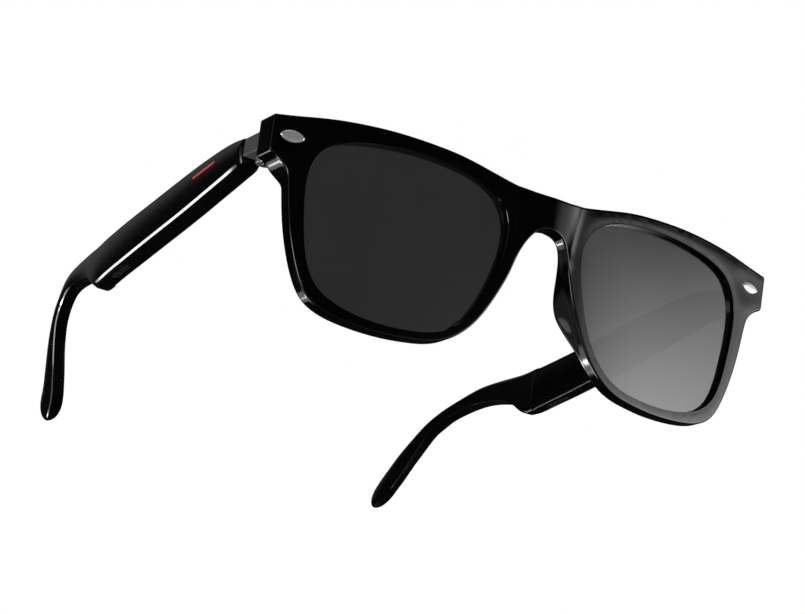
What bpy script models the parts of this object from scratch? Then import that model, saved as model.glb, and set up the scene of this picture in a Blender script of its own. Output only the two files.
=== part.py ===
"""Audio smart glasses, modelled as separate solids.

Every length below is in millimetres and is turned into metres by MM.
X runs across the face (wearer's right is -X), Y runs from the front to
the ear tips, Z is up.  The shape is drawn about a datum at the height of
the outer top corner of the endpieces; DATUM_Y and DATUM_Z move that datum
so that the finished object stands on z = 0, centred on the origin.
"""
import math

import bmesh
import bpy
import numpy as np
from mathutils import Matrix, Vector

MM = 0.001

# ---------------------------------------------------------------- dimensions
DATUM_Y = -81.375         # moves the drawing datum to the centre of the box
DATUM_Z = 47.3            # the rim bottoms and the ear tips stand on z = 0

HALF_WIDTH = 73.5         # outer corner of an endpiece
BROW_RADIUS = 393.0       # plan curvature of each rim
RIM_CENTRE_X = 39.1
WRAP_SLOPE = 0.143        # each rim is swept back by about eight degrees
BRIDGE_HALF = 8.6         # the bridge bulges forward between these
BRIDGE_RADIUS = 19.2
RIM_THICK = 4.2
ENDPIECE_BACK = 13.5      # flat rear face of the endpieces
ENDPIECE_BOTTOM = -9.2

LENS_THICK = 1.6
LENS_SET_BACK = 1.5       # from the rim's front face to the lens
GROOVE_DEPTH = 1.0
GROOVE_SIDE_GAP = 0.3
LENS_EDGE_GAP = 0.3

RIVET = (68.3, -4.65, 3.0, 1.5)     # x, z, half length, half height
HINGE_X, HINGE_Y = 69.3, 16.4       # the fold axis
KNUCKLE_R, PIN_R, BORE_R = 2.2, 0.60, 0.75
GAP = 0.3

# Upper outline of the front, from the middle of the bridge to the corner.
BROW = [(0, -2.3), (5, -2.15), (10, -1.45), (17, 0.05), (25, 1.75), (33, 2.65),
        (42, 3.1), (51, 2.9), (60, 2.05), (68, 0.75), (HALF_WIDTH, 0)]
# Lower outline, from the notch under the endpiece round the rim to the bridge.
RIM = [(70.9, -10.4), (68.7, -12.7), (67.7, -16), (66.9, -21), (65.8, -26.5),
       (64.2, -32.2), (61.9, -38.1), (58.7, -42.8), (53.5, -45.6), (46.5, -46.9),
       (39, -47.3), (31.5, -46.8), (24.6, -45.2), (18.6, -41), (14.6, -35.8),
       (11.3, -29.5), (8.9, -23.7), (7.3, -18.5), (5.6, -14.5), (3.1, -11.6), (0, -10.8)]
# Lens opening.
OPENING = [(63.3, -16.8), (62.6, -10.5), (59.4, -5.2), (53, -2.2), (45, -0.9), (36, -0.5),
           (27, -1.2), (19.5, -2.9), (14, -6.3), (11.3, -11.5), (11.2, -17.7), (12.8, -24.9),
           (15.6, -32.5), (19.8, -38.9), (26, -43.2), (34.5, -44.8), (44, -44.6),
           (52.2, -42.6), (57.6, -39.1), (60.6, -33.5), (62.3, -25.8)]

# Temple: pairs of points on the top edge and on the bottom edge, (y, z).
TEMPLE = [((22.6, -1.5), (22.6, -8.8)), ((30, -0.9), (29.5, -10.4)), ((42, -1.5), (41, -12.6)),
          ((54, -2.9), (52.5, -14.8)), ((66, -4.7), (64.5, -16.9)), ((78, -6.5), (76.5, -18.9)),
          ((90, -8.1), (88.5, -20.8)), ((99, -9.3), (98, -22.2)), ((104, -9.9), (103.4, -23.1)),
          ((107, -10.3), (106.7, -23.1)), ((110.3, -10.6), (110, -21.6)),
          ((114, -10.75), (113.6, -19.5)), ((119, -10.95), (118.4, -18.2)), ((125.3, -11.4), (124.5, -17.5)),
          ((131.5, -12.3), (130.5, -17.5)), ((137.1, -13.9), (135.7, -18.3)), ((141.5, -15.6), (139.8, -19.5)),
          ((145.4, -17.3), (143.3, -20.9)), ((149.1, -19.3), (146.4, -22.9)), ((152.4, -21.7), (148.9, -25.0)),
          ((157.1, -26.2), (151.7, -29.8)), ((161.1, -30.7), (154.1, -34.7)), ((164.3, -35.4), (156.3, -39.5)),
          ((167.4, -40.0), (158.6, -43.3))]
HOUSING_STATIONS = 9      # the first stations carry the electronics
TIP = (166.75, -46.75)
# Outer bottom edge of the temple in plan, (y, x), and its thickness there.
TEMPLE_X = [(22, 72.5), (52, 72.3), (80, 72.2), (106, 71.1), (118, 69.6), (127, 68.4), (134.3, 67.4),
            (140.7, 65.8), (145.3, 64.5), (148.9, 63.1), (151.7, 61.4), (154.1, 59.6), (156.3, 58.0),
            (158.5, 56.8), (164, 55.3)]
TEMPLE_T = [(22, 4.8), (98, 4.9), (118, 4.1), (132, 3.7), (142, 3.4), (152, 3.3), (160, 3.0), (168, 2.9)]
# How far the ear piece's section turns to follow its inward sweep, (y, slope).
EAR_TURN = [(138, 0), (144, 0.04), (150, 0.12), (155.5, 0.3), (159, 0.52), (163, 0.65), (168, 0.7)]
OUTER_CROWN, INNER_CROWN = 0.8, 1.0
WALL = 1.2
COVER_T = 1.1
COVER_Y = (27.0, 102.0)


# ------------------------------------------------------------------- helpers
def clear_scene():
    for ob in list(bpy.data.objects):
        bpy.data.objects.remove(ob, do_unlink=True)
    for me in list(bpy.data.meshes):
        bpy.data.meshes.remove(me)


def collection(name):
    c = bpy.data.collections.new(name)
    bpy.context.scene.collection.children.link(c)
    return c


def material(name, colour, rough, metal=0.0, alpha=1.0):
    m = bpy.data.materials.new(name)
    m.use_nodes = True
    p = m.node_tree.nodes["Principled BSDF"]
    p.inputs["Base Color"].default_value = (*colour, 1)
    p.inputs["Roughness"].default_value = rough
    p.inputs["Metallic"].default_value = metal
    p.inputs["Alpha"].default_value = alpha
    m.diffuse_color = (*colour, alpha)
    return m


def spline(points, n, closed=False):
    """n points on a smooth curve through the points, spaced by chord."""
    p = np.array(points, float)
    if closed:
        p = np.vstack([p[-3:], p, p[:4]])
    s = np.concatenate([[0], np.cumsum(np.sqrt(np.hypot(*np.diff(p, axis=0).T)))])
    k = len(s)
    h = np.diff(s)
    a = np.zeros((k, k))
    b = np.zeros((k, p.shape[1]))
    a[0, 0] = a[-1, -1] = 1
    for i in range(1, k - 1):
        a[i, i - 1:i + 2] = h[i - 1], 2 * (h[i - 1] + h[i]), h[i]
        b[i] = 6 * ((p[i + 1] - p[i]) / h[i] - (p[i] - p[i - 1]) / h[i - 1])
    m = np.linalg.solve(a, b)
    lo, hi = (s[3], s[k - 4]) if closed else (s[0], s[-1])
    t = np.linspace(lo, hi, n, endpoint=not closed)
    i = np.clip(np.searchsorted(s, t, side="right") - 1, 0, k - 2)
    d = (t - s[i])[:, None]
    e = (s[i + 1] - t)[:, None]
    hh = h[i][:, None]
    return (m[i] * e ** 3 + m[i + 1] * d ** 3) / (6 * hh) + (p[i] / hh - m[i] * hh / 6) * e \
        + (p[i + 1] / hh - m[i + 1] * hh / 6) * d


def table(pairs, x):
    """Smooth value at x of a curve through (x, value) pairs."""
    q = spline(pairs, 240)
    return float(np.interp(x, q[:, 0], q[:, 1]))


def front_y(x):
    """Front face of the frame in plan."""
    a = abs(x)
    rim = (a - RIM_CENTRE_X) ** 2 / (2 * BROW_RADIUS) + WRAP_SLOPE * (a - RIM_CENTRE_X)
    if a >= BRIDGE_HALF:
        return rim
    b = BRIDGE_HALF
    edge = (b - RIM_CENTRE_X) ** 2 / (2 * BROW_RADIUS) + WRAP_SLOPE * (b - RIM_CENTRE_X)
    return edge + (a * a - b * b) / (2 * BRIDGE_RADIUS)


def offset(loop, d):
    """Outline moved outwards by d; the loop runs either way round."""
    p = np.array(loop)
    area = 0.5 * np.sum(p[:, 0] * np.roll(p[:, 1], -1) - np.roll(p[:, 0], -1) * p[:, 1])
    t = np.roll(p, -1, 0) - np.roll(p, 1, 0)
    t /= np.hypot(t[:, 0], t[:, 1])[:, None]
    n = np.stack([t[:, 1], -t[:, 0]], 1) * (1 if area > 0 else -1)
    return p + n * d


def place(x, y, z):
    return Vector((x * MM, (y + DATUM_Y) * MM, (z + DATUM_Z) * MM))


def make_object(name, bm, coll, mat=None, smooth=None):
    me = bpy.data.meshes.new(name)
    bmesh.ops.recalc_face_normals(bm, faces=bm.faces)
    bm.to_mesh(me)
    bm.free()
    ob = bpy.data.objects.new(name, me)
    coll.objects.link(ob)
    if mat:
        me.materials.append(mat)
    if smooth:
        me.shade_smooth()
        me.set_sharp_from_angle(angle=math.radians(smooth))
    return ob


def extrude_outline(name, loops, plane, low, high, coll, mat=None):
    """Flat outline from a 2D curve, filled and extruded along Y or Z.

    plane 'XZ' takes (x, z) points and runs from y = low to y = high;
    plane 'XY' takes (x, y) points and runs from z = low to z = high.
    """
    cu = bpy.data.curves.new(name, "CURVE")
    cu.dimensions = "2D"
    cu.fill_mode = "BOTH"
    cu.extrude = 0.5 * (high - low) * MM
    for loop in loops:
        sp = cu.splines.new("POLY")
        sp.points.add(len(loop) - 1)
        for q, (u, v) in zip(sp.points, loop):
            q.co = (u * MM, v * MM, 0, 1)
        sp.use_cyclic_u = True
    tmp = bpy.data.objects.new(name + "_curve", cu)
    bpy.context.scene.collection.objects.link(tmp)
    mid = 0.5 * (low + high)
    if plane == "XZ":
        tmp.matrix_world = Matrix.Translation(place(0, mid, 0)) @ Matrix.Rotation(math.pi / 2, 4, "X")
    else:
        tmp.matrix_world = Matrix.Translation(place(0, 0, mid))
    bpy.context.view_layer.update()
    dg = bpy.context.evaluated_depsgraph_get()
    me = bpy.data.meshes.new_from_object(tmp.evaluated_get(dg))
    bm = bmesh.new()
    bm.from_mesh(me)
    bmesh.ops.transform(bm, matrix=tmp.matrix_world, verts=bm.verts)
    bmesh.ops.remove_doubles(bm, verts=bm.verts, dist=1e-6)
    bpy.data.objects.remove(tmp, do_unlink=True)
    bpy.data.curves.remove(cu)
    bpy.data.meshes.remove(me)
    return make_object(name, bm, coll, mat)


def box(name, lo, hi, coll, mat=None):
    bm = bmesh.new()
    bmesh.ops.create_cube(bm, size=1)
    a, b = place(*lo), place(*hi)
    bmesh.ops.scale(bm, vec=b - a, verts=bm.verts)
    bmesh.ops.translate(bm, vec=(a + b) / 2, verts=bm.verts)
    return make_object(name, bm, coll, mat)


def cylinder(name, centre, axis, radius, depth, coll, mat=None, sides=20, flat=None):
    """Round bar about its centre; flat squashes it across the axis (u, v)."""
    bm = bmesh.new()
    bmesh.ops.create_cone(bm, cap_ends=True, segments=sides, radius1=radius * MM,
                          radius2=radius * MM, depth=depth * MM)
    if flat:
        bmesh.ops.scale(bm, vec=(flat[0], flat[1], 1), verts=bm.verts)
    rot = Vector((0, 0, 1)).rotation_difference(Vector(axis)).to_matrix().to_4x4()
    bmesh.ops.transform(bm, matrix=Matrix.Translation(place(*centre)) @ rot, verts=bm.verts)
    return make_object(name, bm, coll, mat, smooth=40)


def boolean(ob, cutter, operation="DIFFERENCE"):
    m = ob.modifiers.new(operation.lower(), "BOOLEAN")
    m.operation = operation
    m.solver = "EXACT"
    m.object = cutter
    cutter.hide_render = True
    cutter.display_type = "WIRE"


def bake(ob):
    """Replace the mesh with its modified result, so that it can cut others."""
    bpy.context.view_layer.update()
    dg = bpy.context.evaluated_depsgraph_get()
    me = bpy.data.meshes.new_from_object(ob.evaluated_get(dg))
    bm = bmesh.new()
    bm.from_mesh(me)
    bmesh.ops.remove_doubles(bm, verts=bm.verts, dist=2e-6)
    bmesh.ops.dissolve_degenerate(bm, dist=2e-6, edges=bm.edges)
    bm.to_mesh(me)
    bm.free()
    old = ob.data
    ob.modifiers.clear()
    ob.data = me
    me.name = ob.name
    bpy.data.meshes.remove(old)


def smooth_by_angle(ob, angle=35):
    ob.data.shade_smooth()
    ob.data.set_sharp_from_angle(angle=math.radians(angle))


def loft(name, rings, coll, mat=None, smooth=None):
    """Closed skin through rings that all have the same number of points."""
    bm = bmesh.new()
    rows = [[bm.verts.new(place(*p)) for p in ring] for ring in rings]
    n = len(rows[0])
    for a, b in zip(rows[:-1], rows[1:]):
        for i in range(n):
            j = (i + 1) % n
            bm.faces.new((a[i], a[j], b[j], b[i]))
    bm.faces.new(rows[0][::-1])
    bm.faces.new(rows[-1])
    return make_object(name, bm, coll, mat, smooth)


# ----------------------------------------------------------------- the front
def front_outline():
    brow = spline([(-x, z) for x, z in BROW[:0:-1]] + BROW, 57)
    half = [tuple(p) for p in brow if p[0] > 0.01]
    half[-1] = (HALF_WIDTH, 0)
    rim = [tuple(p) for p in spline(RIM, 62)]
    right = half + [(HALF_WIDTH - 0.2, ENDPIECE_BOTTOM)] + rim[:-1]
    left = [(-x, z) for x, z in right]
    return [(0, brow[28][1])] + right + [(0, RIM[-1][1])] + left[::-1]


def opening(side, n=52, grow=0.0):
    p = offset(spline(OPENING, n, closed=True), grow)
    return [(side * x, z) for x, z in p]


def plan_slab(name, near, far, coll, x0, x1, n=41):
    """Slab that follows the front face in plan, between two set-backs."""
    xs = np.linspace(x0, x1, n)
    loop = [(x, front_y(x) + near) for x in xs] + [(x, front_y(x) + far) for x in xs[::-1]]
    return extrude_outline(name, [loop], "XY", -60, 20, coll)


def build_front(parts, cutters, mats):
    xs = np.concatenate([np.linspace(-HALF_WIDTH - 0.5, -BRIDGE_HALF, 12), np.linspace(-6.4, 6.4, 7),
                         np.linspace(BRIDGE_HALF, HALF_WIDTH + 0.5, 12)])
    face = [(x, front_y(x)) for x in xs]
    e = HALF_WIDTH + 0.5
    back_x = [e, 67.0, 65.6, 64.0, 58, 50, 42, 34, 26, 17, 11.5, 6]
    back = [(x, ENDPIECE_BACK if x > 66.5 else (12.4 if x > 65 else front_y(x) + RIM_THICK)) for x in back_x]
    plan = face + back + [(0, front_y(0) + RIM_THICK + 0.6)] + [(-x, y) for x, y in back[::-1]]
    slab = extrude_outline("plan_of_front", [plan], "XY", -60, 20, cutters)
    frame = extrude_outline("front_frame", [front_outline(), opening(1), opening(-1)], "XZ", -12, 20,
                            parts, mats["frame"])
    boolean(frame, slab, "INTERSECT")
    bake(frame)

    # Nose pads moulded on the inside of each rim.
    for s in (1, -1):
        bm = bmesh.new()
        bmesh.ops.create_uvsphere(bm, u_segments=20, v_segments=12, radius=1)
        bmesh.ops.scale(bm, vec=(2.3 * MM, 3.8 * MM, 8.4 * MM), verts=bm.verts)
        rot = Matrix.Rotation(s * math.radians(26), 4, "Z") @ Matrix.Rotation(s * math.radians(20), 4, "Y")
        bmesh.ops.transform(bm, matrix=Matrix.Translation(place(s * 10.7, 0.9, -26.1)) @ rot, verts=bm.verts)
        pad = make_object("nose_pad_%s" % ("left" if s > 0 else "right"), bm, cutters)
        boolean(frame, pad, "UNION")
        bake(frame)
        # groove that holds the lens
        groove = extrude_outline("lens_groove", [opening(s, 52, GROOVE_DEPTH)], "XZ", -12, 20, cutters)
        ring = plan_slab("groove_slab", LENS_SET_BACK - GROOVE_SIDE_GAP,
                         LENS_SET_BACK + LENS_THICK + GROOVE_SIDE_GAP, cutters,
                         min(s * 8.9, s * 66), max(s * 8.9, s * 66), 12)
        boolean(groove, ring, "INTERSECT")
        bake(groove)
        boolean(frame, groove)
        bake(frame)

        # lens
        lens = extrude_outline("lens_%s" % ("left" if s > 0 else "right"),
                               [opening(s, 52, GROOVE_DEPTH - LENS_EDGE_GAP)], "XZ", -12, 20, parts, mats["lens"])
        body = plan_slab("lens_slab", LENS_SET_BACK, LENS_SET_BACK + LENS_THICK, cutters,
                         min(s * 8.9, s * 66), max(s * 8.9, s * 66), 12)
        boolean(lens, body, "INTERSECT")
        bake(lens)
        smooth_by_angle(lens)

        # oval rivet plate with its shank, and the pocket that takes them
        x, z, half_len, half_high = RIVET
        slope = WRAP_SLOPE + (x - RIM_CENTRE_X) / BROW_RADIUS
        normal = Vector((s * slope, -1, 0)).normalized()
        right_hand = "left" if s > 0 else "right"
        base = Vector((s * x, front_y(x), z))
        tilt = math.atan(slope) * -s
        for kind, grow, depth, shank in (("pocket", GAP, 1.3, 1.1), ("rivet", 0.0, 1.2, 0.8)):
            coll = cutters if kind == "pocket" else parts
            c = base + normal * (0.1 if kind == "rivet" else 0.05)
            if kind == "pocket":
                c = base - normal * 0.0
            bm = bmesh.new()
            bmesh.ops.create_cone(bm, cap_ends=True, segments=28, radius1=MM,
                                  radius2=MM * (1.0 if kind == "pocket" else 0.86), depth=depth * MM)
            bmesh.ops.scale(bm, vec=(half_len + grow, half_high + grow, 1), verts=bm.verts)
            turn = Matrix.Rotation(-tilt, 4, "Z") @ Matrix.Rotation(math.pi / 2, 4, "X")
            bmesh.ops.transform(bm, matrix=Matrix.Translation(place(*c)) @ turn, verts=bm.verts)
            plate = make_object("%s_%s" % (kind, right_hand), bm, coll, mats["metal"])
            pin = cylinder("%s_shank" % kind, tuple(base - normal * 1.6), normal, shank,
                           3.0 if kind == "rivet" else 3.6, cutters, sides=16)
            boolean(plate, pin, "UNION")
            bake(plate)
            smooth_by_angle(plate)
            if kind == "pocket":
                boolean(frame, plate)
                plate.name = "rivet_pocket"
                bake(frame)
    smooth_by_angle(frame)
    return frame


# ---------------------------------------------------------------- the hinges
def build_hinge(s, parts, cutters, mats):
    side = "left" if s > 0 else "right"

    def b(name, x0, x1, y0, y1, z0, z1, coll, mat=None):
        return box(name, (min(s * x0, s * x1), y0, z0), (max(s * x0, s * x1), y1, z1), coll, mat)

    bore = cylinder("hinge_bore", (s * HINGE_X, HINGE_Y, -5.3), (0, 0, 1), BORE_R, 16, cutters, sides=20)
    # front leaf: plate on the endpiece with an upper and a lower knuckle
    leaf = b("hinge_front_leaf_" + side, 68.0, 72.2, ENDPIECE_BACK + 0.3, ENDPIECE_BACK + 0.6, -9.6, -0.9,
             parts, mats["metal"])
    for z0, z1 in ((-2.1, -0.9), (-9.6, -7.3)):
        k = cylinder("knuckle", (s * HINGE_X, HINGE_Y, (z0 + z1) / 2), (0, 0, 1), KNUCKLE_R, z1 - z0,
                     cutters, sides=28)
        w = b("knuckle_web", 68.2, 70.4, ENDPIECE_BACK + 0.45, HINGE_Y, z0, z1, cutters)
        boolean(leaf, w, "UNION")
        bake(leaf)
        boolean(leaf, k, "UNION")
        bake(leaf)
    boolean(leaf, bore)
    bake(leaf)
    smooth_by_angle(leaf)

    # temple leaf: middle knuckle, the block that shows, and a tongue in the housing
    block = b("hinge_temple_leaf_" + side, HINGE_X, 72.7, 14.6, 22.2, -7.0, -2.4, parts, mats["hinge"])
    k = cylinder("knuckle", (s * HINGE_X, HINGE_Y, -4.7), (0, 0, 1), KNUCKLE_R, 4.6, cutters, sides=28)
    boolean(block, k, "UNION")
    bake(block)
    for nm, x0, x1, y0, y1, z0, z1 in (("inner_block", 67.7, 70.0, 18.9, 22.2, -7.0, -2.4),
                                       ("tongue", 68.7, 71.1, 22.0, 29.5, -6.4, -3.0)):
        w = b(nm, x0, x1, y0, y1, z0, z1, cutters)
        boolean(block, w, "UNION")
        bake(block)
    boolean(block, bore)
    bake(block)
    smooth_by_angle(block)

    # screw through the three knuckles, with a slotted head on top
    screw = cylinder("hinge_screw_" + side, (s * HINGE_X, HINGE_Y, -5.05), (0, 0, 1), PIN_R, 9.3, parts,
                     mats["steel"], sides=20)
    head = cylinder("screw_head", (s * HINGE_X, HINGE_Y, -0.25), (0, 0, 1), 1.45, 0.7, cutters, sides=24)
    boolean(screw, head, "UNION")
    bake(screw)
    slot = box("screw_slot", (s * HINGE_X - 2, HINGE_Y - 0.2, -0.2), (s * HINGE_X + 2, HINGE_Y + 0.2, 0.5), cutters)
    boolean(screw, slot)
    bake(screw)
    smooth_by_angle(screw)


# --------------------------------------------------------------- the temples
def section(crown_out, crown_in, thick, n_out=5, n_in=4):
    """Temple section: (across, up) with across = 0 at the outer bottom edge
    and up from 0 to 1, running up the outer side and down the inner side."""
    p = []
    for i in range(n_out + 1):
        u = i / n_out
        p.append((crown_out * math.sin(math.pi * min(u * 0.95, 1.0)) - 0.25 * u ** 6, u * 0.90))
    p.append((-1.1, 0.985))
    p.append((-thick * 0.5, 1.0))
    p.append((-thick + 0.6, 0.98))
    for i in range(n_in + 1):
        u = 1 - i / n_in
        p.append((-thick - crown_in * math.sin(math.pi * (0.08 + 0.84 * u)), 0.06 + u * 0.84))
    p.append((-thick + 0.5, 0.0))
    return p


def temple_ring(s, top, bottom, scale=1.0):
    y_mid = 0.5 * (top[0] + bottom[0])
    xo = table(TEMPLE_X, bottom[0])
    t = table(TEMPLE_T, y_mid)
    ear = min(1.0, max(0.0, (y_mid - 104) / 16))
    sec = section(OUTER_CROWN * (1 - 0.35 * ear), INNER_CROWN * (1 - 0.55 * ear), t)
    turn = table(EAR_TURN, min(y_mid, 168)) if y_mid > 138 else 0.0
    ring = []
    cx = -t / 2
    for a, u in sec:
        a = cx + (a - cx) * scale
        u = 0.5 + (u - 0.5) * scale
        y = bottom[0] + (top[0] - bottom[0]) * u + turn * a
        z = bottom[1] + (top[1] - bottom[1]) * u
        ring.append((s * (xo + a), y, z))
    return ring


def edge_z(which, y):
    """Height of the top (0) or bottom (1) edge of the housing at y."""
    return table([st[which] for st in TEMPLE[:HOUSING_STATIONS]], y)


def inner_face(y):
    return table(TEMPLE_X, y) - table(TEMPLE_T, y) - INNER_CROWN


def plan_strip(name, s, y0, y1, inner, outer, z0, z1, coll, mat=None, n=7):
    """Upright strip that follows the temple in plan, between two functions of y."""
    ys = np.linspace(y0, y1, n)
    loop = [(s * inner(y), y) for y in ys] + [(s * outer(y), y) for y in ys[::-1]]
    return extrude_outline(name, [loop], "XY", z0, z1, coll, mat)


def rect_loft(name, s, ys, inner, outer, low, high, coll, mat=None):
    rings = []
    for y in ys:
        a, b = s * inner(y), s * outer(y)
        rings.append([(a, y, low(y)), (b, y, low(y)), (b, y, high(y)), (a, y, high(y))])
    return loft(name, rings, coll, mat)


def build_temple(s, parts, cutters, mats):
    side = "left" if s > 0 else "right"
    top = spline([st[0] for st in TEMPLE], len(TEMPLE))
    rings = [temple_ring(s, *st) for st in TEMPLE]
    # rounded front end and rounded ear tip
    first, last = TEMPLE[0], TEMPLE[-1]
    rings[0] = temple_ring(s, first[0], first[1], 0.93)
    for f, k in ((0.5, 0.88), (0.85, 0.60), (1.0, 0.28)):
        mid = ((last[0][0] + last[1][0]) / 2, (last[0][1] + last[1][1]) / 2)
        dy, dz = (TIP[0] - mid[0]) * f, (TIP[1] - mid[1]) * f
        rings.append(temple_ring(s, (last[0][0] + dy, last[0][1] + dz), (last[1][0] + dy, last[1][1] + dz), k))
    shell = loft("temple_shell_" + side, rings, parts, mats["temple"])
    cover = loft("temple_cover_" + side, rings[:11], parts, mats["cover"])

    y0, y1 = COVER_Y

    def split(y):
        return inner_face(y) + COVER_T

    region = plan_strip("cover_region", s, y0, y1, lambda y: split(y) - GAP, lambda y: inner_face(y) - 6,
                        -40, 10, cutters)
    boolean(cover, region, "INTERSECT")
    bake(cover)
    seat = plan_strip("cover_seat", s, y0 - GAP, y1 + GAP, split, lambda y: inner_face(y) - 6, -40, 10, cutters)
    boolean(shell, seat)
    bake(shell)

    def outer_wall(y):
        return table(TEMPLE_X, y) + 0.1 - WALL

    ys = np.linspace(y0 + 1.5, y1 - 1.5, 7)
    cavity = rect_loft("cavity", s, ys, lambda y: split(y) - 1, outer_wall,
                       lambda y: edge_z(1, y) + WALL + 0.2, lambda y: edge_z(0, y) - WALL - 0.5, cutters)
    boolean(shell, cavity)
    bake(shell)
    # slot in the front wall for the hinge tongue
    x0, x1 = sorted((s * 68.4, s * 71.4))
    slot = box("tongue_slot", (x0, 20, -6.7), (x1, 30.0, -2.7), cutters)
    boolean(shell, slot)
    bake(shell)

    def strip(node, ya, yb, xa, xb, za, zb, mat, n=4):
        """Part inside the housing, following its plan; xa, xb from the split
        face outwards, za, zb from the housing's middle line."""
        ys_ = np.linspace(ya, yb, n)

        def mid(y):
            return 0.5 * (edge_z(0, y) + edge_z(1, y))
        return rect_loft(node + "_" + side, s, ys_, lambda y: split(y) + xa, lambda y: split(y) + xb,
                         lambda y: mid(y) + za, lambda y: mid(y) + zb, parts, mat)

    strip("circuit_board", 38.5, 59, 1.0, 1.8, -3.2, 3.0, mats["board"])
    strip("battery", 60.5, 84, 0.4, 3.2, -4.0, 3.9, mats["battery"])
    strip("touch_pad", 35, 57, 2.6, 3.1, -2.6, 2.8, mats["copper"])

    # speaker box and its grille in the underside
    spk = strip("speaker", 87, 99, 0.5, 3.1, -4.3, 3.6, mats["speaker"])
    gy0, gy1 = 88.0, 98.0

    def gx(y):
        return table(TEMPLE_X, y) - table(TEMPLE_T, y) / 2

    def bottom_line(y):
        return edge_z(1, y)
    hole = rect_loft("grille_hole", s, (gy0, gy1), lambda y: gx(y) - 1.1, lambda y: gx(y) + 1.1,
                     lambda y: bottom_line(y) - 2, lambda y: bottom_line(y) + 3, cutters)
    boolean(shell, hole)
    bake(shell)
    grille = rect_loft("speaker_grille_" + side, s, (gy0 + GAP, gy1 - GAP), lambda y: gx(y) - 0.8,
                       lambda y: gx(y) + 0.8, lambda y: bottom_line(y) + 0.35, lambda y: bottom_line(y) + 1.1,
                       parts, mats["grille"])
    for i in range(7):
        y = gy0 + 1.1 + i * 1.3
        x0, x1 = sorted((s * (gx(y) - 0.5), s * (gx(y) + 0.5)))
        cut = box("grille_slot", (x0, y - 0.3, bottom_line(y) - 3), (x1, y + 0.3, bottom_line(y) + 4), cutters)
        boolean(grille, cut)
        bake(grille)

    # microphone behind a small port in the underside, near the hinge
    my = 36.0
    mx = gx(my)
    port = cylinder("mic_port", (s * mx, my, edge_z(1, my)), (0, 0, 1), 0.45, 6, cutters, sides=12)
    boolean(shell, port)
    bake(shell)
    x0, x1 = sorted((s * (split(my) + 0.3), s * (split(my) + 2.2)))
    zb = edge_z(1, my) + WALL + 0.75
    box("microphone_" + side, (x0, my - 1.6, zb), (x1, my + 1.6, zb + 1.1), parts, mats["steel"])

    # charging port: a flat plate in the cover with two contacts
    cy = 41.0
    cz = 0.5 * (edge_z(0, cy) + edge_z(1, cy)) + 0.4
    xf = inner_face(cy) - 0.05
    hole = cylinder("port_hole", (s * xf, cy, cz), (s, 0, 0), 1.0, 8, cutters, sides=28, flat=(2.0, 5.4))
    boolean(cover, hole)
    bake(cover)
    plate = cylinder("charging_port_" + side, (s * (xf + 0.75), cy, cz), (s, 0, 0), 1.0, 1.2, parts,
                     mats["port"], sides=28, flat=(1.7, 5.1))
    for nm, y in (("front", cy - 2.2), ("rear", cy + 2.2)):
        ph = cylinder("pin_hole", (s * (xf + 0.75), y, cz), (1, 0, 0), 1.1, 4, cutters, sides=16)
        boolean(plate, ph)
        bake(plate)
        cylinder("charging_pin_%s_%s" % (nm, side), (s * (xf + 0.85), y, cz), (1, 0, 0), 0.75, 1.5, parts,
                 mats["gold"], sides=16)

    # status light guide in the cover
    ly = 54.0
    lz = 0.5 * (edge_z(0, ly) + edge_z(1, ly)) + 0.4
    lx = inner_face(ly)
    hole = cylinder("light_hole", (s * lx, ly, lz), (1, 0, 0), 0.9, 8, cutters, sides=16)
    boolean(cover, hole)
    bake(cover)
    cylinder("light_guide_" + side, (s * (lx + 0.75), ly, lz), (1, 0, 0), 0.6, 1.2, parts, mats["light"], sides=16)

    # core wire in the ear piece
    route = []
    for a, b_ in TEMPLE[11:22]:
        y, z = 0.5 * (a[0] + b_[0]), 0.5 * (a[1] + b_[1])
        half = 0.5 * table(TEMPLE_T, y)
        turn = table(EAR_TURN, y) if y > 138 else 0.0
        route.append((s * (table(TEMPLE_X, b_[0]) - half), y - turn * half, z))
    for nm, r, coll, mat, lo, hi in (("core_bore", 0.95, cutters, None, 0.0, 1.0),
                                     ("core_wire_" + side, 0.6, parts, mats["steel"], 0.03, 0.985)):
        p = spline(route, 25)
        k0, k1 = int(round(lo * 24)), int(round(hi * 24))
        pts = [Vector(place(*q)) for q in p[k0:k1 + 1]]
        if nm == "core_bore":
            pts = [place(s * (split(100.5) + 1.6), 99.0, 0.5 * (edge_z(0, 100.5) + edge_z(1, 100.5)) + 1.0)] + pts
        tube(nm, pts, r, coll, mat)
        if nm == "core_bore":
            boolean(shell, coll.objects[nm])
            bake(shell)
            coll.objects[nm].name = "core_bore_" + side
    smooth_by_angle(shell)
    smooth_by_angle(cover)

    if s < 0:
        # thin red marker let into the outer face
        y_a, y_b = 37.3, 49.0
        slope_ = -1.7 / 11.7
        z_a = -4.8

        def zline(y):
            return z_a + slope_ * (y - y_a)

        def x_face(y):
            return face_x(y, zline(y))
        for nm, g, coll, mat, deep in (("marker_slot", GAP, cutters, None, 0.75),
                                       ("touch_marker", 0.0, parts, mats["red"], 0.45)):
            rings_ = []
            for y in np.linspace(y_a - g, y_b + g, 5):
                xf_ = x_face(y)
                hi_ = 0.35 + g
                out = 0.05 if nm == "touch_marker" else 1.0
                rings_.append([(s * (xf_ - deep), y, zline(y) - hi_), (s * (xf_ + out), y, zline(y) - hi_),
                               (s * (xf_ + out), y, zline(y) + hi_), (s * (xf_ - deep), y, zline(y) + hi_)])
            ob = loft(nm, rings_, coll, mat)
            if nm == "marker_slot":
                boolean(shell, ob)
                bake(shell)
        smooth_by_angle(shell)


def face_x(y, z):
    """Outer face of the housing at (y, z)."""
    zb, zt = edge_z(1, y), edge_z(0, y)
    u = min(max((z - zb) / (zt - zb) / 0.90, 0), 1)
    return table(TEMPLE_X, y) + OUTER_CROWN * math.sin(math.pi * min(u * 0.95, 1.0)) - 0.25 * u ** 6


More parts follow.
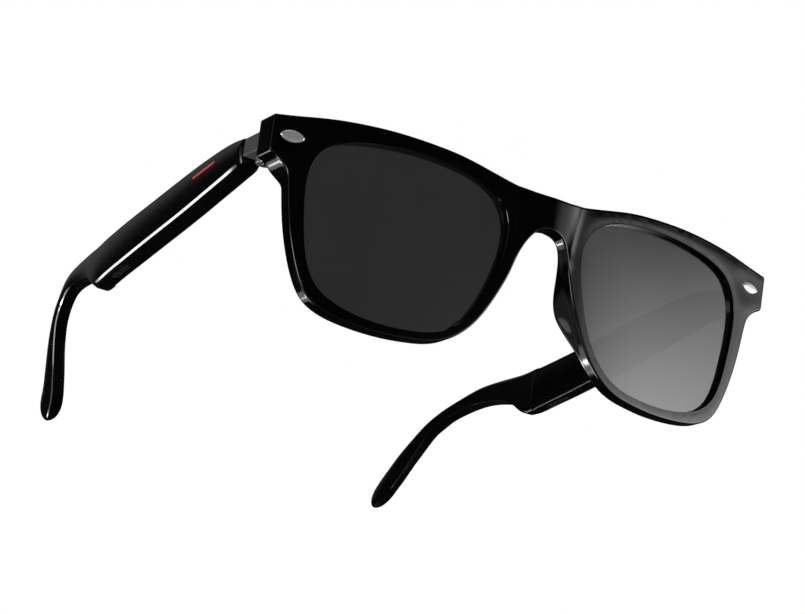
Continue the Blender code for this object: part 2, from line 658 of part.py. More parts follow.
def tube(name, points, radius, coll, mat):
    cu = bpy.data.curves.new(name, "CURVE")
    cu.dimensions = "3D"
    cu.bevel_depth = radius * MM
    cu.bevel_resolution = 2
    cu.use_fill_caps = True
    sp = cu.splines.new("POLY")
    sp.points.add(len(points) - 1)
    for q, p in zip(sp.points, points):
        q.co = (*p, 1)
    tmp = bpy.data.objects.new(name + "_curve", cu)
    bpy.context.scene.collection.objects.link(tmp)
    bpy.context.view_layer.update()
    me = bpy.data.meshes.new_from_object(tmp.evaluated_get(bpy.context.evaluated_depsgraph_get()))
    bm = bmesh.new()
    bm.from_mesh(me)
    bmesh.ops.remove_doubles(bm, verts=bm.verts, dist=1e-6)
    bpy.data.objects.remove(tmp, do_unlink=True)
    bpy.data.curves.remove(cu)
    bpy.data.meshes.remove(me)
    return make_object(name, bm, coll, mat, smooth=40)


def main():
    clear_scene()
    parts = collection("smart_glasses")
    cutters = collection("cutters")
    mats = {
        "frame": material("frame_black", (0.008, 0.008, 0.009), 0.12),
        "lens": material("lens_smoke", (0.02, 0.02, 0.022), 0.05, 0.0, 0.75),
        "metal": material("polished_metal", (0.72, 0.73, 0.75), 0.15, 1.0),
        "hinge": material("hinge_grey", (0.16, 0.16, 0.17), 0.35, 0.6),
        "steel": material("steel", (0.55, 0.55, 0.57), 0.3, 1.0),
        "temple": material("temple_black", (0.012, 0.012, 0.013), 0.25),
        "cover": material("cover_black", (0.014, 0.014, 0.015), 0.35),
        "board": material("board_green", (0.01, 0.12, 0.05), 0.5),
        "battery": material("battery_silver", (0.5, 0.5, 0.52), 0.35, 0.8),
        "copper": material("copper_pad", (0.6, 0.3, 0.15), 0.35, 1.0),
        "speaker": material("speaker_black", (0.03, 0.03, 0.03), 0.5),
        "grille": material("grille_black", (0.02, 0.02, 0.02), 0.4, 0.8),
        "port": material("port_black", (0.01, 0.01, 0.01), 0.3),
        "gold": material("gold_contact", (0.83, 0.6, 0.25), 0.25, 1.0),
        "light": material("light_guide", (0.85, 0.87, 0.9), 0.2),
        "red": material("marker_red", (0.6, 0.03, 0.02), 0.3),
    }
    build_front(parts, cutters, mats)
    for s in (-1, 1):
        build_hinge(s, parts, cutters, mats)
        build_temple(s, parts, cutters, mats)
    for ob in cutters.objects:
        ob.hide_render = True
        ob.display_type = "WIRE"


main()
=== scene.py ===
"""Looks of the audio smart glasses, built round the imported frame.

Lengths are in millimetres unless a name ends in _m; X across the face,
Y from the front to the ear tips, Z up.
"""
import math

import bmesh
import bpy
import numpy as np
from mathutils import Matrix, Vector
from mathutils.geometry import delaunay_2d_cdt


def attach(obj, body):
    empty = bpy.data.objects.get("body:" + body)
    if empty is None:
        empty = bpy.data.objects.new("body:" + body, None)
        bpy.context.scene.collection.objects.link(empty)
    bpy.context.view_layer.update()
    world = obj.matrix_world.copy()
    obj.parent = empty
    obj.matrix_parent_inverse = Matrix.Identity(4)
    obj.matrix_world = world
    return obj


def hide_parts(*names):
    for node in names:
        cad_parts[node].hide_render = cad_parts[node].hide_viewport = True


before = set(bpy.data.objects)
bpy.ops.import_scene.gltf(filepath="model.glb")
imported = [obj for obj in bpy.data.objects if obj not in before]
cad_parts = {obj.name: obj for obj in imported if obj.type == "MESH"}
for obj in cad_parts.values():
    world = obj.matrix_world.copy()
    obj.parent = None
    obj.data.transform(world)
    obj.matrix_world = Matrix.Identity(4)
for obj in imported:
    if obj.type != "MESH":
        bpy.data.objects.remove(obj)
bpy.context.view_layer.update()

MM = 0.001

# ------------------------------------------------- dimensions, as in the CAD
DATUM_Y, DATUM_Z = -81.375, 47.3
HALF_WIDTH, BROW_RADIUS, RIM_CENTRE_X, WRAP_SLOPE = 73.5, 393.0, 39.1, 0.143
BRIDGE_HALF, BRIDGE_RADIUS = 8.6, 19.2
RIM_THICK, ENDPIECE_BACK, ENDPIECE_BOTTOM = 4.2, 13.5, -9.2
LENS_THICK, LENS_SET_BACK = 1.6, 1.5
RIVET = (68.3, -4.65, 3.0, 1.5)
HINGE_X, HINGE_Y = 69.3, 16.4
KNUCKLE_R, PIN_R, BORE_R = 2.2, 0.60, 0.75
GAP = 0.3
BROW = [(0, -2.3), (5, -2.15), (10, -1.45), (17, 0.05), (25, 1.75), (33, 2.65),
        (42, 3.1), (51, 2.9), (60, 2.05), (68, 0.75), (HALF_WIDTH, 0)]
RIM = [(70.9, -10.4), (68.7, -12.7), (67.7, -16), (66.9, -21), (65.8, -26.5),
       (64.2, -32.2), (61.9, -38.1), (58.7, -42.8), (53.5, -45.6), (46.5, -46.9),
       (39, -47.3), (31.5, -46.8), (24.6, -45.2), (18.6, -41), (14.6, -35.8),
       (11.3, -29.5), (8.9, -23.7), (7.3, -18.5), (5.6, -14.5), (3.1, -11.6), (0, -10.8)]
OPENING = [(63.3, -16.8), (62.6, -10.5), (59.4, -5.2), (53, -2.2), (45, -0.9), (36, -0.5),
           (27, -1.2), (19.5, -2.9), (14, -6.3), (11.3, -11.5), (11.2, -17.7), (12.8, -24.9),
           (15.6, -32.5), (19.8, -38.9), (26, -43.2), (34.5, -44.8), (44, -44.6),
           (52.2, -42.6), (57.6, -39.1), (60.6, -33.5), (62.3, -25.8)]
TEMPLE = [((22.6, -1.5), (22.6, -8.8)), ((30, -0.9), (29.5, -10.4)), ((42, -1.5), (41, -12.6)),
          ((54, -2.9), (52.5, -14.8)), ((66, -4.7), (64.5, -16.9)), ((78, -6.5), (76.5, -18.9)),
          ((90, -8.1), (88.5, -20.8)), ((99, -9.3), (98, -22.2)), ((104, -9.9), (103.4, -23.1)),
          ((107, -10.3), (106.7, -23.1)), ((110.3, -10.6), (110, -21.6)),
          ((114, -10.75), (113.6, -19.5)), ((119, -10.95), (118.4, -18.2)), ((125.3, -11.4), (124.5, -17.5)),
          ((131.5, -12.3), (130.5, -17.5)), ((137.1, -13.9), (135.7, -18.3)), ((141.5, -15.6), (139.8, -19.5)),
          ((145.4, -17.3), (143.3, -20.9)), ((149.1, -19.3), (146.4, -22.9)), ((152.4, -21.7), (148.9, -25.0)),
          ((157.1, -26.2), (151.7, -29.8)), ((161.1, -30.7), (154.1, -34.7)), ((164.3, -35.4), (156.3, -39.5)),
          ((167.4, -40.0), (158.6, -43.3))]
HOUSING_STATIONS = 9
TIP = (166.75, -46.75)
TEMPLE_X = [(22, 72.5), (52, 72.3), (80, 72.2), (106, 71.1), (118, 69.6), (127, 68.4), (134.3, 67.4),
            (140.7, 65.8), (145.3, 64.5), (148.9, 63.1), (151.7, 61.4), (154.1, 59.6), (156.3, 58.0),
            (158.5, 56.8), (164, 55.3)]
TEMPLE_T = [(22, 4.8), (98, 4.9), (118, 4.1), (132, 3.7), (142, 3.4), (152, 3.3), (160, 3.0), (168, 2.9)]
# How far the ear piece's section turns to follow its inward sweep, (y, slope).
EAR_TURN = [(138, 0), (144, 0.04), (150, 0.12), (155.5, 0.3), (159, 0.52), (163, 0.65), (168, 0.7)]
OUTER_CROWN, INNER_CROWN = 0.8, 1.0
WALL, COVER_T, COVER_Y = 1.2, 1.1, (27.0, 102.0)

# finer shape of the surface
FRONT_EDGE = 0.42         # rounding along the front's outer edge
BACK_EDGE = 0.8
PAD_RISE = 3.5            # nose pads stand this far behind the rim
# height of a nose pad along the rim, (z, share of the rise)
PAD_PROFILE = [(-44, 0), (-41, 0), (-39.5, 0.05), (-37, 0.2), (-35, 0.43), (-33, 0.68), (-30.3, 0.93), (-28, 1.0),
               (-24.3, 0.86), (-18.8, 0.43), (-14.6, 0.12), (-12, 0.0), (-10, 0)]
RIM_CROWN = 0.055         # slope of the front face at its edges
GRID = 0.85               # spacing of the points on the faces of the front


# ------------------------------------------------------------------- helpers
def place(x, y, z):
    return Vector((x * MM, (y + DATUM_Y) * MM, (z + DATUM_Z) * MM))


def spline(points, n, closed=False):
    """n points on a smooth curve through the points, spaced by chord."""
    p = np.array(points, float)
    if closed:
        p = np.vstack([p[-3:], p, p[:4]])
    s = np.concatenate([[0], np.cumsum(np.sqrt(np.linalg.norm(np.diff(p, axis=0), axis=1)))])
    k = len(s)
    h = np.diff(s)
    a = np.zeros((k, k))
    b = np.zeros((k, p.shape[1]))
    a[0, 0] = a[-1, -1] = 1
    for i in range(1, k - 1):
        a[i, i - 1:i + 2] = h[i - 1], 2 * (h[i - 1] + h[i]), h[i]
        b[i] = 6 * ((p[i + 1] - p[i]) / h[i] - (p[i] - p[i - 1]) / h[i - 1])
    m = np.linalg.solve(a, b)
    lo, hi = (s[3], s[k - 4]) if closed else (s[0], s[-1])
    t = np.linspace(lo, hi, n, endpoint=not closed)
    i = np.clip(np.searchsorted(s, t, side="right") - 1, 0, k - 2)
    d = (t - s[i])[:, None]
    e = (s[i + 1] - t)[:, None]
    hh = h[i][:, None]
    return (m[i] * e ** 3 + m[i + 1] * d ** 3) / (6 * hh) + (p[i] / hh - m[i] * hh / 6) * e \
        + (p[i + 1] / hh - m[i + 1] * hh / 6) * d


def even(points, step, closed=False):
    """The polyline again, with points about one step apart."""
    p = np.array(points, float)
    if closed:
        p = np.vstack([p, p[:1]])
    s = np.concatenate([[0], np.cumsum(np.linalg.norm(np.diff(p, axis=0), axis=1))])
    n = max(2, int(round(s[-1] / step)))
    t = np.linspace(0, s[-1], n + 1)
    if closed:
        t = t[:-1]
    return np.stack([np.interp(t, s, p[:, k]) for k in range(p.shape[1])], 1)


def curve(pairs):
    q = spline(pairs, 1200)
    return lambda x: np.interp(x, q[:, 0], q[:, 1])


def smooth(t):
    t = np.clip(t, 0.0, 1.0)
    return t * t * (3 - 2 * t)


temple_x, temple_t, ear_turn = curve(TEMPLE_X), curve(TEMPLE_T), curve(EAR_TURN)


def offset(loop, d):
    """Outline moved outwards by d (one number, or one per point)."""
    p = np.array(loop, float)
    area = 0.5 * np.sum(p[:, 0] * np.roll(p[:, 1], -1) - np.roll(p[:, 0], -1) * p[:, 1])
    t = np.roll(p, -1, 0) - np.roll(p, 1, 0)
    t /= np.hypot(t[:, 0], t[:, 1])[:, None]
    n = np.stack([t[:, 1], -t[:, 0]], 1) * (1 if area > 0 else -1)
    return p + n * (np.ones(len(p)) * d)[:, None]


def inside(pts, loop):
    """True for each point that lies within the closed loop."""
    x, y = pts[:, 0][:, None], pts[:, 1][:, None]
    a, b = loop, np.roll(loop, -1, 0)
    ok = ((a[:, 1] > y) != (b[:, 1] > y))
    with np.errstate(divide="ignore", invalid="ignore"):
        cross = x < (b[:, 0] - a[:, 0]) * (y - a[:, 1]) / (b[:, 1] - a[:, 1]) + a[:, 0]
    return (np.sum(ok & cross, 1) % 2) == 1


def nearest(pts, others):
    out = np.empty(len(pts))
    for i in range(0, len(pts), 800):
        out[i:i + 800] = np.sqrt(((pts[i:i + 800, None] - others[None]) ** 2).sum(-1)).min(1)
    return out


class Skin:
    """Vertices and faces of one closed surface, in millimetres."""

    def __init__(self):
        self.v, self.f, self.mat = [], [], []

    def ring(self, pts):
        i = len(self.v)
        self.v.extend([tuple(p) for p in pts])
        return list(range(i, i + len(pts)))

    def face(self, ids, m=0):
        self.f.append(tuple(ids))
        self.mat.append(m)

    def bridge(self, a, b, m=0, closed=True):
        n = len(a)
        for i in range(n if closed else n - 1):
            j = (i + 1) % n
            self.face((a[i], a[j], b[j], b[i]), m)

    def object(self, name, materials, sharp=35):
        me = bpy.data.meshes.new(name)
        me.from_pydata([place(*p) for p in self.v], [], self.f)
        for m in materials:
            me.materials.append(m)
        me.polygons.foreach_set("material_index", self.mat)
        bm = bmesh.new()
        bm.from_mesh(me)
        bmesh.ops.recalc_face_normals(bm, faces=bm.faces)
        bm.to_mesh(me)
        bm.free()
        ob = bpy.data.objects.new(name, me)
        bpy.context.scene.collection.objects.link(ob)
        shade(ob, sharp)
        return ob


def shade(ob, sharp=35):
    ob.data.shade_smooth()
    if sharp:
        ob.data.set_sharp_from_angle(angle=math.radians(sharp))
    if len(ob.data.materials) > 1:
        # the borders between two finishes are crisp
        bm = bmesh.new()
        bm.from_mesh(ob.data)
        for e in bm.edges:
            if len(e.link_faces) == 2 and e.link_faces[0].material_index != e.link_faces[1].material_index:
                e.smooth = False
        bm.to_mesh(ob.data)
        bm.free()


def fill(skin, loops, ids, step, lift, fine=None, m=0):
    """Face between an outer loop and its holes, with points inside it.

    loops are (x, z) arrays, ids the vertices already made for them, and
    lift turns an (n, 2) array into 3-D points.  fine says where the points
    lie at half the step.
    """
    outer = loops[0]
    lo, hi = outer.min(0), outer.max(0)
    cand = []
    for st, want in ((step, 0), (step * 0.5, 1)):
        if want and fine is None:
            continue
        zs = np.arange(lo[1], hi[1], st * 0.866)
        xs = np.arange(lo[0], hi[0], st)
        g = np.array([(x + (0.5 * st if j % 2 else 0), z) for j, z in enumerate(zs) for x in xs])
        if fine is not None:
            keep = fine(g) if want else ~fine(g)
            g = g[keep]
        cand.append((g, st))
    edge = np.vstack(loops)
    inner = []
    for g, st in cand:
        if not len(g):
            continue
        g = g[inside(g, outer)]
        for hole in loops[1:]:
            g = g[~inside(g, hole)]
        g = g[nearest(g, edge) > 0.55 * st]
        inner.append(g)
    inner = np.vstack(inner)
    pts = np.vstack([edge, inner])
    edges, k = [], 0
    for loop in loops:
        n = len(loop)
        edges += [(k + i, k + (i + 1) % n) for i in range(n)]
        k += n
    out = delaunay_2d_cdt([Vector(p) for p in pts.tolist()], edges, [], 0, 1e-7)
    verts, tris, orig = np.array([tuple(v) for v in out[0]]), out[2], out[3]
    tri = np.array([t for t in tris if len(t) == 3])
    mid = verts[tri].mean(1)
    keep = inside(mid, outer)
    for hole in loops[1:]:
        keep &= ~inside(mid, hole)
    tri = tri[keep]
    known = [i for r in ids for i in r]
    lifted = lift(verts)
    where = {}
    for i, o in enumerate(orig):
        src = [s for s in o if s < len(edge)]
        if src:
            where[i] = known[src[0]]
    for t in tri:
        q = []
        for i in t:
            i = int(i)
            if i not in where:
                where[i] = len(skin.v)
                skin.v.append(tuple(lifted[i]))
            q.append(where[i])
        if len(set(q)) == 3:
            skin.face(q, m)


# ------------------------------------------------------------ front surfaces
_gx = np.linspace(-80, 80, 6401)
_ga = np.abs(_gx)


def _rim_line(a):
    return (a - RIM_CENTRE_X) ** 2 / (2 * BROW_RADIUS) + WRAP_SLOPE * (a - RIM_CENTRE_X)


_gy = np.where(_ga >= BRIDGE_HALF, _rim_line(_ga),
               _rim_line(BRIDGE_HALF) + (_ga ** 2 - BRIDGE_HALF ** 2) / (2 * BRIDGE_RADIUS))
_soft = np.hanning(2 * 40 + 1)
_gy = np.convolve(np.pad(_gy, 40, mode="reflect", reflect_type="odd"), _soft / _soft.sum(), mode="valid")
_nasal = spline(RIM, 600)
_nasal = _nasal[(_nasal[:, 0] < 24) & (_nasal[:, 1] < -10.8)]
_nasal = _nasal[np.argsort(_nasal[:, 1])]


_pad = spline(PAD_PROFILE, 400)
_pad[:, 1] = np.maximum(_pad[:, 1], 0)


CREASE_X, CREASE_LEAN = 8.3, 0.17      # crease between the bridge and a rim


def front_y(x):
    return np.interp(x, _gx, _gy)


def crease_x(x, z):
    """Distance from the middle, with the bridge's creases leaning outwards at the top."""
    a = np.abs(x)
    return a - CREASE_LEAN * (np.clip(z, -14, 0) + 8.2) * np.exp(-((a - CREASE_X) / 3.0) ** 2)


def pad_share(x, z):
    """0 to 1 along the nose pad, and 0 to 1 across it towards the nose."""
    d = np.abs(x) - np.interp(z, _nasal[:, 1], _nasal[:, 0])
    along = np.interp(z, _pad[:, 0], _pad[:, 1])
    return along, 1 - smooth((d - 0.7) / 2.9)


def block_share(x, z):
    return smooth((np.abs(x) - 63.7) / 2.5) * smooth((z + 17.0) / 5.5)


def thickness(x, z):
    along, across = pad_share(x, z)
    b = block_share(x, z)
    return RIM_THICK + b * (ENDPIECE_BACK - front_y(x) - RIM_THICK) + PAD_RISE * along * across \
        + 0.6 * smooth(1 - np.abs(x) / 6)


def at(xz, depth):
    """3-D points at a depth behind the front face."""
    x, z = xz[:, 0], xz[:, 1]
    along, across = pad_share(x, z)
    depth = np.ones(len(xz)) * depth
    lean = 0.42 * along * across * np.maximum(0, depth - 2.6)
    return np.stack([x - np.sign(x) * lean, front_y(crease_x(x, z)) + depth, z], 1)


def corner(a, b, c, r, n=7):
    """Rounded corner at b between the directions of a and c."""
    a, b, c = map(lambda q: np.array(q, float), (a, b, c))
    p, q = b + (a - b) / np.linalg.norm(a - b) * r, b + (c - b) / np.linalg.norm(c - b) * r
    t = np.linspace(0, 1, n)[:, None]
    return (1 - t) ** 2 * p + 2 * t * (1 - t) * b + t ** 2 * q


def front_outline():
    """Closed outline, starting in the middle of the brow, towards +X."""
    full = spline([(-x, z) for x, z in BROW[:0:-1]] + BROW, 1601)
    brow = full[800:]
    tip = np.array((HALF_WIDTH, 0.0))
    low = np.array((HALF_WIDTH - 0.2, ENDPIECE_BOTTOM))
    brow = brow[np.linalg.norm(brow - tip, axis=1) > 0.75]
    rim = spline(RIM, 1500)
    top = corner(brow[-1], tip, low, 0.72)
    bottom = corner(tip, low, rim[0], 0.8)
    notch = corner(low, rim[0], rim[30], 1.1)
    rim = rim[np.linalg.norm(rim - rim[0], axis=1) > 1.2]
    half = [even(np.vstack([brow, top[:1]]), 0.7)[:-1], top[:-1], even(np.vstack([top[-1:], bottom[:1]]), 0.7)[:-1],
            bottom[:-1], even(np.vstack([bottom[-1:], notch[:1]]), 0.5)[:-1], notch[:-1],
            even(np.vstack([notch[-1:], rim]), 0.62)]
    half = np.vstack(half)
    half[0, 0] = 0
    half[-1, 0] = 0
    left = half[1:-1][::-1] * [-1, 1]
    return np.vstack([half, left])


def opening(s, grow=0.0):
    p = even(spline(OPENING, 900, closed=True), 0.62, closed=True)
    p = offset(p, grow)
    return p * [s, 1]


def almond(grow=0.0, n=72):
    """Outline of the rivet plate about its centre: a leaf with blunt ends."""
    out = []
    for i in range(n):
        a = 2 * math.pi * i / n
        c, d = math.cos(a), math.sin(a)
        out.append(((RIVET[2] + grow) * math.copysign(abs(c) ** 1.0, c),
                    (RIVET[3] + grow) * math.copysign(abs(d) ** 1.28, d)))
    return np.array(out)


def build_front(mats):
    k = Skin()
    outer = front_outline()
    ox, oz = outer[:, 0], outer[:, 1]
    along, _ = pad_share(ox, oz)
    along = np.where((np.abs(ox) < 24) & (oz < -11), along, 0)
    blk = block_share(ox, oz)
    rb = BACK_EDGE + 1.1 * along - 0.35 * blk
    rf = FRONT_EDGE
    fronts, backs = [], []

    rings = []
    for a in np.linspace(0, 90, 6):
        inset, depth = rf * (1 - math.sin(math.radians(a))), rf * (1 - math.cos(math.radians(a)))
        rings.append(k.ring(at(offset(outer, -inset), depth)))
        if a == 0:
            # a narrow flat band keeps the edge's shading off the face
            band = k.ring(at(offset(outer, -inset - 0.28), 0.0))
            k.bridge(band, rings[-1])
            fronts.append((offset(outer, -inset - 0.28), band))
    t_out = thickness(ox, oz)
    for w in np.linspace(0, 1, 9)[1:-1]:
        rings.append(k.ring(at(outer, rf + (t_out - rb - rf) * w)))
    for a in np.linspace(0, 90, 7):
        q = offset(outer, -rb * (1 - math.cos(math.radians(a))))
        depth = thickness(q[:, 0], q[:, 1]) - rb * (1 - math.sin(math.radians(a)))
        if a == 90:
            depth = thickness(q[:, 0], q[:, 1])
        rings.append(k.ring(at(q, depth)))
        last = q
    backs.append((last, rings[-1]))
    for a, b in zip(rings[:-1], rings[1:]):
        k.bridge(a, b)

    for s in (1, -1):
        base = opening(s)
        prof = [(0.10, 0.0), (0.0, 0.11), (0.0, 0.5), (0.0, 0.9), (0.0, 1.46),
                (1.0, 1.46), (1.0, 3.14), (0.0, 3.14)]
        rings = []
        for grow, depth in prof:
            rings.append(k.ring(at(offset(base, grow), depth)))
        band = k.ring(at(offset(base, prof[0][0] + 0.28), 0.0))
        k.bridge(band, rings[0])
        fronts.append((offset(base, prof[0][0] + 0.28), band))
        r = 0.7
        for a in np.linspace(0, 90, 6):
            q = offset(base, r * (1 - math.cos(math.radians(a))))
            rings.append(k.ring(at(q, thickness(q[:, 0], q[:, 1]) - r * (1 - math.sin(math.radians(a))))))
        backs.append((q, rings[-1]))
        for a, b in zip(rings[:-1], rings[1:]):
            k.bridge(a, b)
        # pocket of the rivet plate
        hole = almond(0.13) + [RIVET[0], RIVET[1]]
        hole = hole * [s, 1]
        top, low = k.ring(at(hole, 0.0)), k.ring(at(hole, 0.9))
        k.bridge(top, low)
        mid = k.ring(at(np.array([(s * RIVET[0], RIVET[1])]), 0.9))[0]
        for i in range(len(low)):
            k.face((low[i], low[(i + 1) % len(low)], mid))
        fronts.append((hole, top))
    rims = np.vstack([even(p, 0.12, closed=True) for p, _ in fronts[1:] if len(p) > 80])
    holes = np.vstack([p for p, _ in fronts[1:] if len(p) <= 80])
    edge = even(fronts[0][0], 0.12, closed=True)

    def crown(q):
        """The face swells a little between the outline and the lens."""
        a, b, c = (nearest(q, p) for p in (edge, rims, holes))
        h = a * b / (a + b + 1e-6)
        return -RIM_CROWN * 1.8 * (1 - np.exp(-h / 1.8)) * smooth(c / 5.0) * smooth((np.abs(q[:, 0]) - 9) / 5)
    fill(k, [p for p, _ in fronts], [i for _, i in fronts], GRID, lambda q: at(q, crown(q)))

    def steep(q):
        al, ac = pad_share(q[:, 0], q[:, 1])
        b = block_share(q[:, 0], q[:, 1])
        return (((al * ac > 0.01) | (al > 0.02)) & (np.abs(q[:, 0]) < 22) & (q[:, 1] < -11)) | ((b > 0.001) & (b < 0.999))
    fill(k, [p for p, _ in backs], [i for _, i in backs], GRID, lambda q: at(q, thickness(q[:, 0], q[:, 1])), steep)
    ob = k.object("front", [mats["frame"]], 38)
    return ob


def build_lens(s, mats):
    k = Skin()
    base = opening(s, 0.66)
    cx, cz = s * 37.5, -23.5

    def dome(q):
        u, w = (q[:, 0] - cx) / 27.2, (q[:, 1] - cz) / 23.8
        return 0.16 * np.clip(1 - u * u, 0, 1) * np.clip(1 - w * w, 0, 1)
    c = 0.18
    near = [(c, 0.0), (0.0, c)]
    a0 = offset(base, -c)
    r0 = k.ring(at(a0, LENS_SET_BACK - dome(a0)))
    r1 = k.ring(at(base, LENS_SET_BACK + c))
    r2 = k.ring(at(base, LENS_SET_BACK + LENS_THICK - c))
    r3 = k.ring(at(a0, LENS_SET_BACK + LENS_THICK - dome(a0)))
    k.bridge(r0, r1)
    k.bridge(r1, r2)
    k.bridge(r2, r3)
    fill(k, [a0], [r0], 1.5, lambda q: at(q, LENS_SET_BACK - dome(q)))
    fill(k, [a0], [r3], 1.5, lambda q: at(q, LENS_SET_BACK + LENS_THICK - dome(q)))
    return k.object("lens_tinted_" + ("left" if s > 0 else "right"), [mats["lens"]], 30)


def build_rivet(s, mats):
    """Leaf-shaped plate with a flat face, a bevelled edge and a shank."""
    x0, z0, hl, hh = RIVET
    k = Skin()
    slope = WRAP_SLOPE + (x0 - RIM_CENTRE_X) / BROW_RADIUS
    prof = [(0.0, 0.62), (0.0, 0.10), (-0.03, 0.02), (-0.10, -0.05), (-0.34, -0.17), (-0.44, -0.20), (-0.60, -0.215)]
    rings = []
    base = almond(0.0)
    for grow, depth in prof:
        q = almond(grow) + [x0, z0]
        q = q * [s, 1]
        rings.append(k.ring(at(q, depth)))
    for a, b in zip(rings[:-1], rings[1:]):
        k.bridge(a, b)
    q = (almond(-0.60) + [x0, z0]) * [s, 1]
    rings2 = [rings[-1]]
    for f in (0.7, 0.4, 0.15):
        c = np.array([s * x0, z0])
        rings2.append(k.ring(at(c + (q - c) * f, -0.215 - 0.02 * (1 - f))))
    for a, b in zip(rings2[:-1], rings2[1:]):
        k.bridge(a, b)
    mid = k.ring(at(np.array([(s * x0, z0)]), -0.236))[0]
    n = len(rings2[-1])
    for i in range(n):
        k.face((rings2[-1][i], rings2[-1][(i + 1) % n], mid))
    mid = k.ring(at(np.array([(s * x0, z0)]), 0.62))[0]
    for i in range(n):
        k.face((rings[0][i], rings[0][(i + 1) % n], mid))
    return k.object("rivet_plate_" + ("left" if s > 0 else "right"), [mats["rivet"]], 50)


# ------------------------------------------------------------------- temples
STATIONS = spline([(*a, *b) for a, b in TEMPLE], 2400)
# housing edges as functions of y
_edge = [curve([st[i] for st in TEMPLE[:HOUSING_STATIONS + 1]]) for i in (0, 1)]


def edge_z(which, y):
    return float(_edge[which](y))


def inner_face(y):
    return float(temple_x(y) - temple_t(y) - INNER_CROWN)


def split(y):
    return inner_face(y) + COVER_T


def face_x(y, z):
    zb, zt = edge_z(1, y), edge_z(0, y)
    u = min(max((z - zb) / (zt - zb) / 0.90, 0), 1)
    return float(temple_x(y)) + OUTER_CROWN * math.sin(math.pi * min(u * 0.95, 1.0)) - 0.25 * u ** 6


CHAMFER_FROM = 24.6       # the polished edge starts here
# sloping foot of the section: its width, then the polished edge above it
# as distance in, lower height and upper height
EDGE_HOUSING = np.array((1.95, 0.24, 0.80, 1.16))
EDGE_EAR = np.array((0.36, 0.16, 0.02, 0.30))
EDGE_FRONT = np.array((0.16, 0.07, 0.03, 0.10))


def section(height, thick, ear, edge, recess=False):
    """Points round a temple section, (across, up), and the strip each edge
    belongs to (1 on the polished edge).  Up starts at the outer lower edge."""
    oc, ic = OUTER_CROWN * (1 - 0.35 * ear), INNER_CROWN * (1 - 0.55 * ear)
    low, c_in, c_low, c_high = edge
    round_top = 0.10 + 0.20 * ear
    h1 = height * (1 - round_top)

    def a_out(h):
        u = h / (0.90 * height)
        return oc * math.sin(math.pi * min(u * 0.95, 1.0)) - 0.25 * min(u, 1.0) ** 6
    pts, strip = [], []
    pts.append((-low, 0.0)); strip.append(0)
    pts.append((-c_in, c_low)); strip.append(1)
    pts.append((a_out(c_high), c_high)); strip.append(0)
    for f in (0.04, 0.10, 0.19, 0.30, 0.42, 0.54, 0.66, 0.77, 0.87, 0.95, 1.0):
        h = c_high + (h1 - c_high) * f
        pts.append((a_out(h), h)); strip.append(0)
    ao, ai = a_out(h1), -thick - ic * math.sin(math.pi * (0.08 + 0.84 * (h1 - 0.06 * height) / (0.84 * height)))
    if recess:
        ai = max(ai, -thick + 0.1)
    mid, hw = 0.5 * (ao + ai), 0.5 * (ao - ai)
    for d in range(12, 180, 12):
        w = math.radians(d)
        pts.append((mid + hw * math.cos(w), h1 + (height - h1) * math.sin(w))); strip.append(0)
    for f in (1.0, 0.94, 0.84, 0.72, 0.60, 0.48, 0.36, 0.24, 0.14, 0.06, 0.0):
        h = 0.06 * height + (h1 - 0.06 * height) * f
        u = (h - 0.06 * height) / (0.84 * height)
        a = -thick - ic * math.sin(math.pi * (0.08 + 0.84 * min(u, 1.0)))
        if recess:
            a = max(a, -thick + 0.1)
        pts.append((a, h)); strip.append(0)
    a0 = pts[-1][0]
    h0 = 0.06 * height
    for d in (22, 45, 68, 90):
        w = math.radians(d)
        r = 0.62
        pts.append((a0 + r * (1 - math.cos(w)), h0 * (1 - math.sin(w)))); strip.append(0)
    x1 = a0 + 0.62
    for f in (0.33, 0.67):
        pts.append((x1 + (-low - x1) * f, 0.0)); strip.append(0)
    return pts, strip


def station(t):
    """Top and bottom points of the temple at parameter t, 0 to 1."""
    f = t * (len(STATIONS) - 1)
    i = min(int(f), len(STATIONS) - 2)
    q = STATIONS[i] * (1 - (f - i)) + STATIONS[i + 1] * (f - i)
    return q[:2], q[2:]


def param_at(y):
    """Parameter where the bottom edge of the temple passes y."""
    j = int(np.argmax(STATIONS[:, 2] >= y))
    return j / (len(STATIONS) - 1)


def temple_ring(s, top, bottom, recess=False, inset=0.0, scale=1.0, front=False):
    y_mid = 0.5 * (top[0] + bottom[0])
    height = math.hypot(top[0] - bottom[0], top[1] - bottom[1])
    xo, t = float(temple_x(bottom[0])), float(temple_t(y_mid))
    ear = min(1.0, max(0.0, (y_mid - 104) / 16))
    ear = ear * ear * (3 - 2 * ear)
    edge = EDGE_HOUSING + (EDGE_EAR - EDGE_HOUSING) * ear
    if front or y_mid < CHAMFER_FROM:
        edge = EDGE_FRONT
    turn = float(ear_turn(min(y_mid, 168))) if y_mid > 138 else 0.0
    pts, strip = section(height, t, ear, edge, recess)
    cx, ch = -t / 2, height / 2
    ks = 1 - 2 * inset / t
    kh = 1 - 2 * inset / height
    ring = []
    for a, h in pts:
        a = cx + (a - cx) * ks * scale
        u = (ch + (h - ch) * kh * scale) / height
        ring.append((s * (xo + a), bottom[0] + (top[0] - bottom[0]) * u + turn * a,
                     bottom[1] + (top[1] - bottom[1]) * u))
    return ring, strip


def temple_stations():
    """Parameters of the rings, closer where the outline turns."""
    d = np.linalg.norm(np.diff(STATIONS, axis=0), axis=1)
    s = np.concatenate([[0], np.cumsum(d)])
    y = STATIONS[:, 2]
    want, pos = [0.0], 0.0
    while pos < s[-1]:
        yy = float(np.interp(pos, s, y))
        pos += 0.95 if 100 < yy < 118 else 2.0
        want.append(min(pos, s[-1]))
    if want[-1] - want[-2] < 0.5:
        want.pop(-2)
    return np.interp(want, s, np.linspace(0, 1, len(STATIONS)))


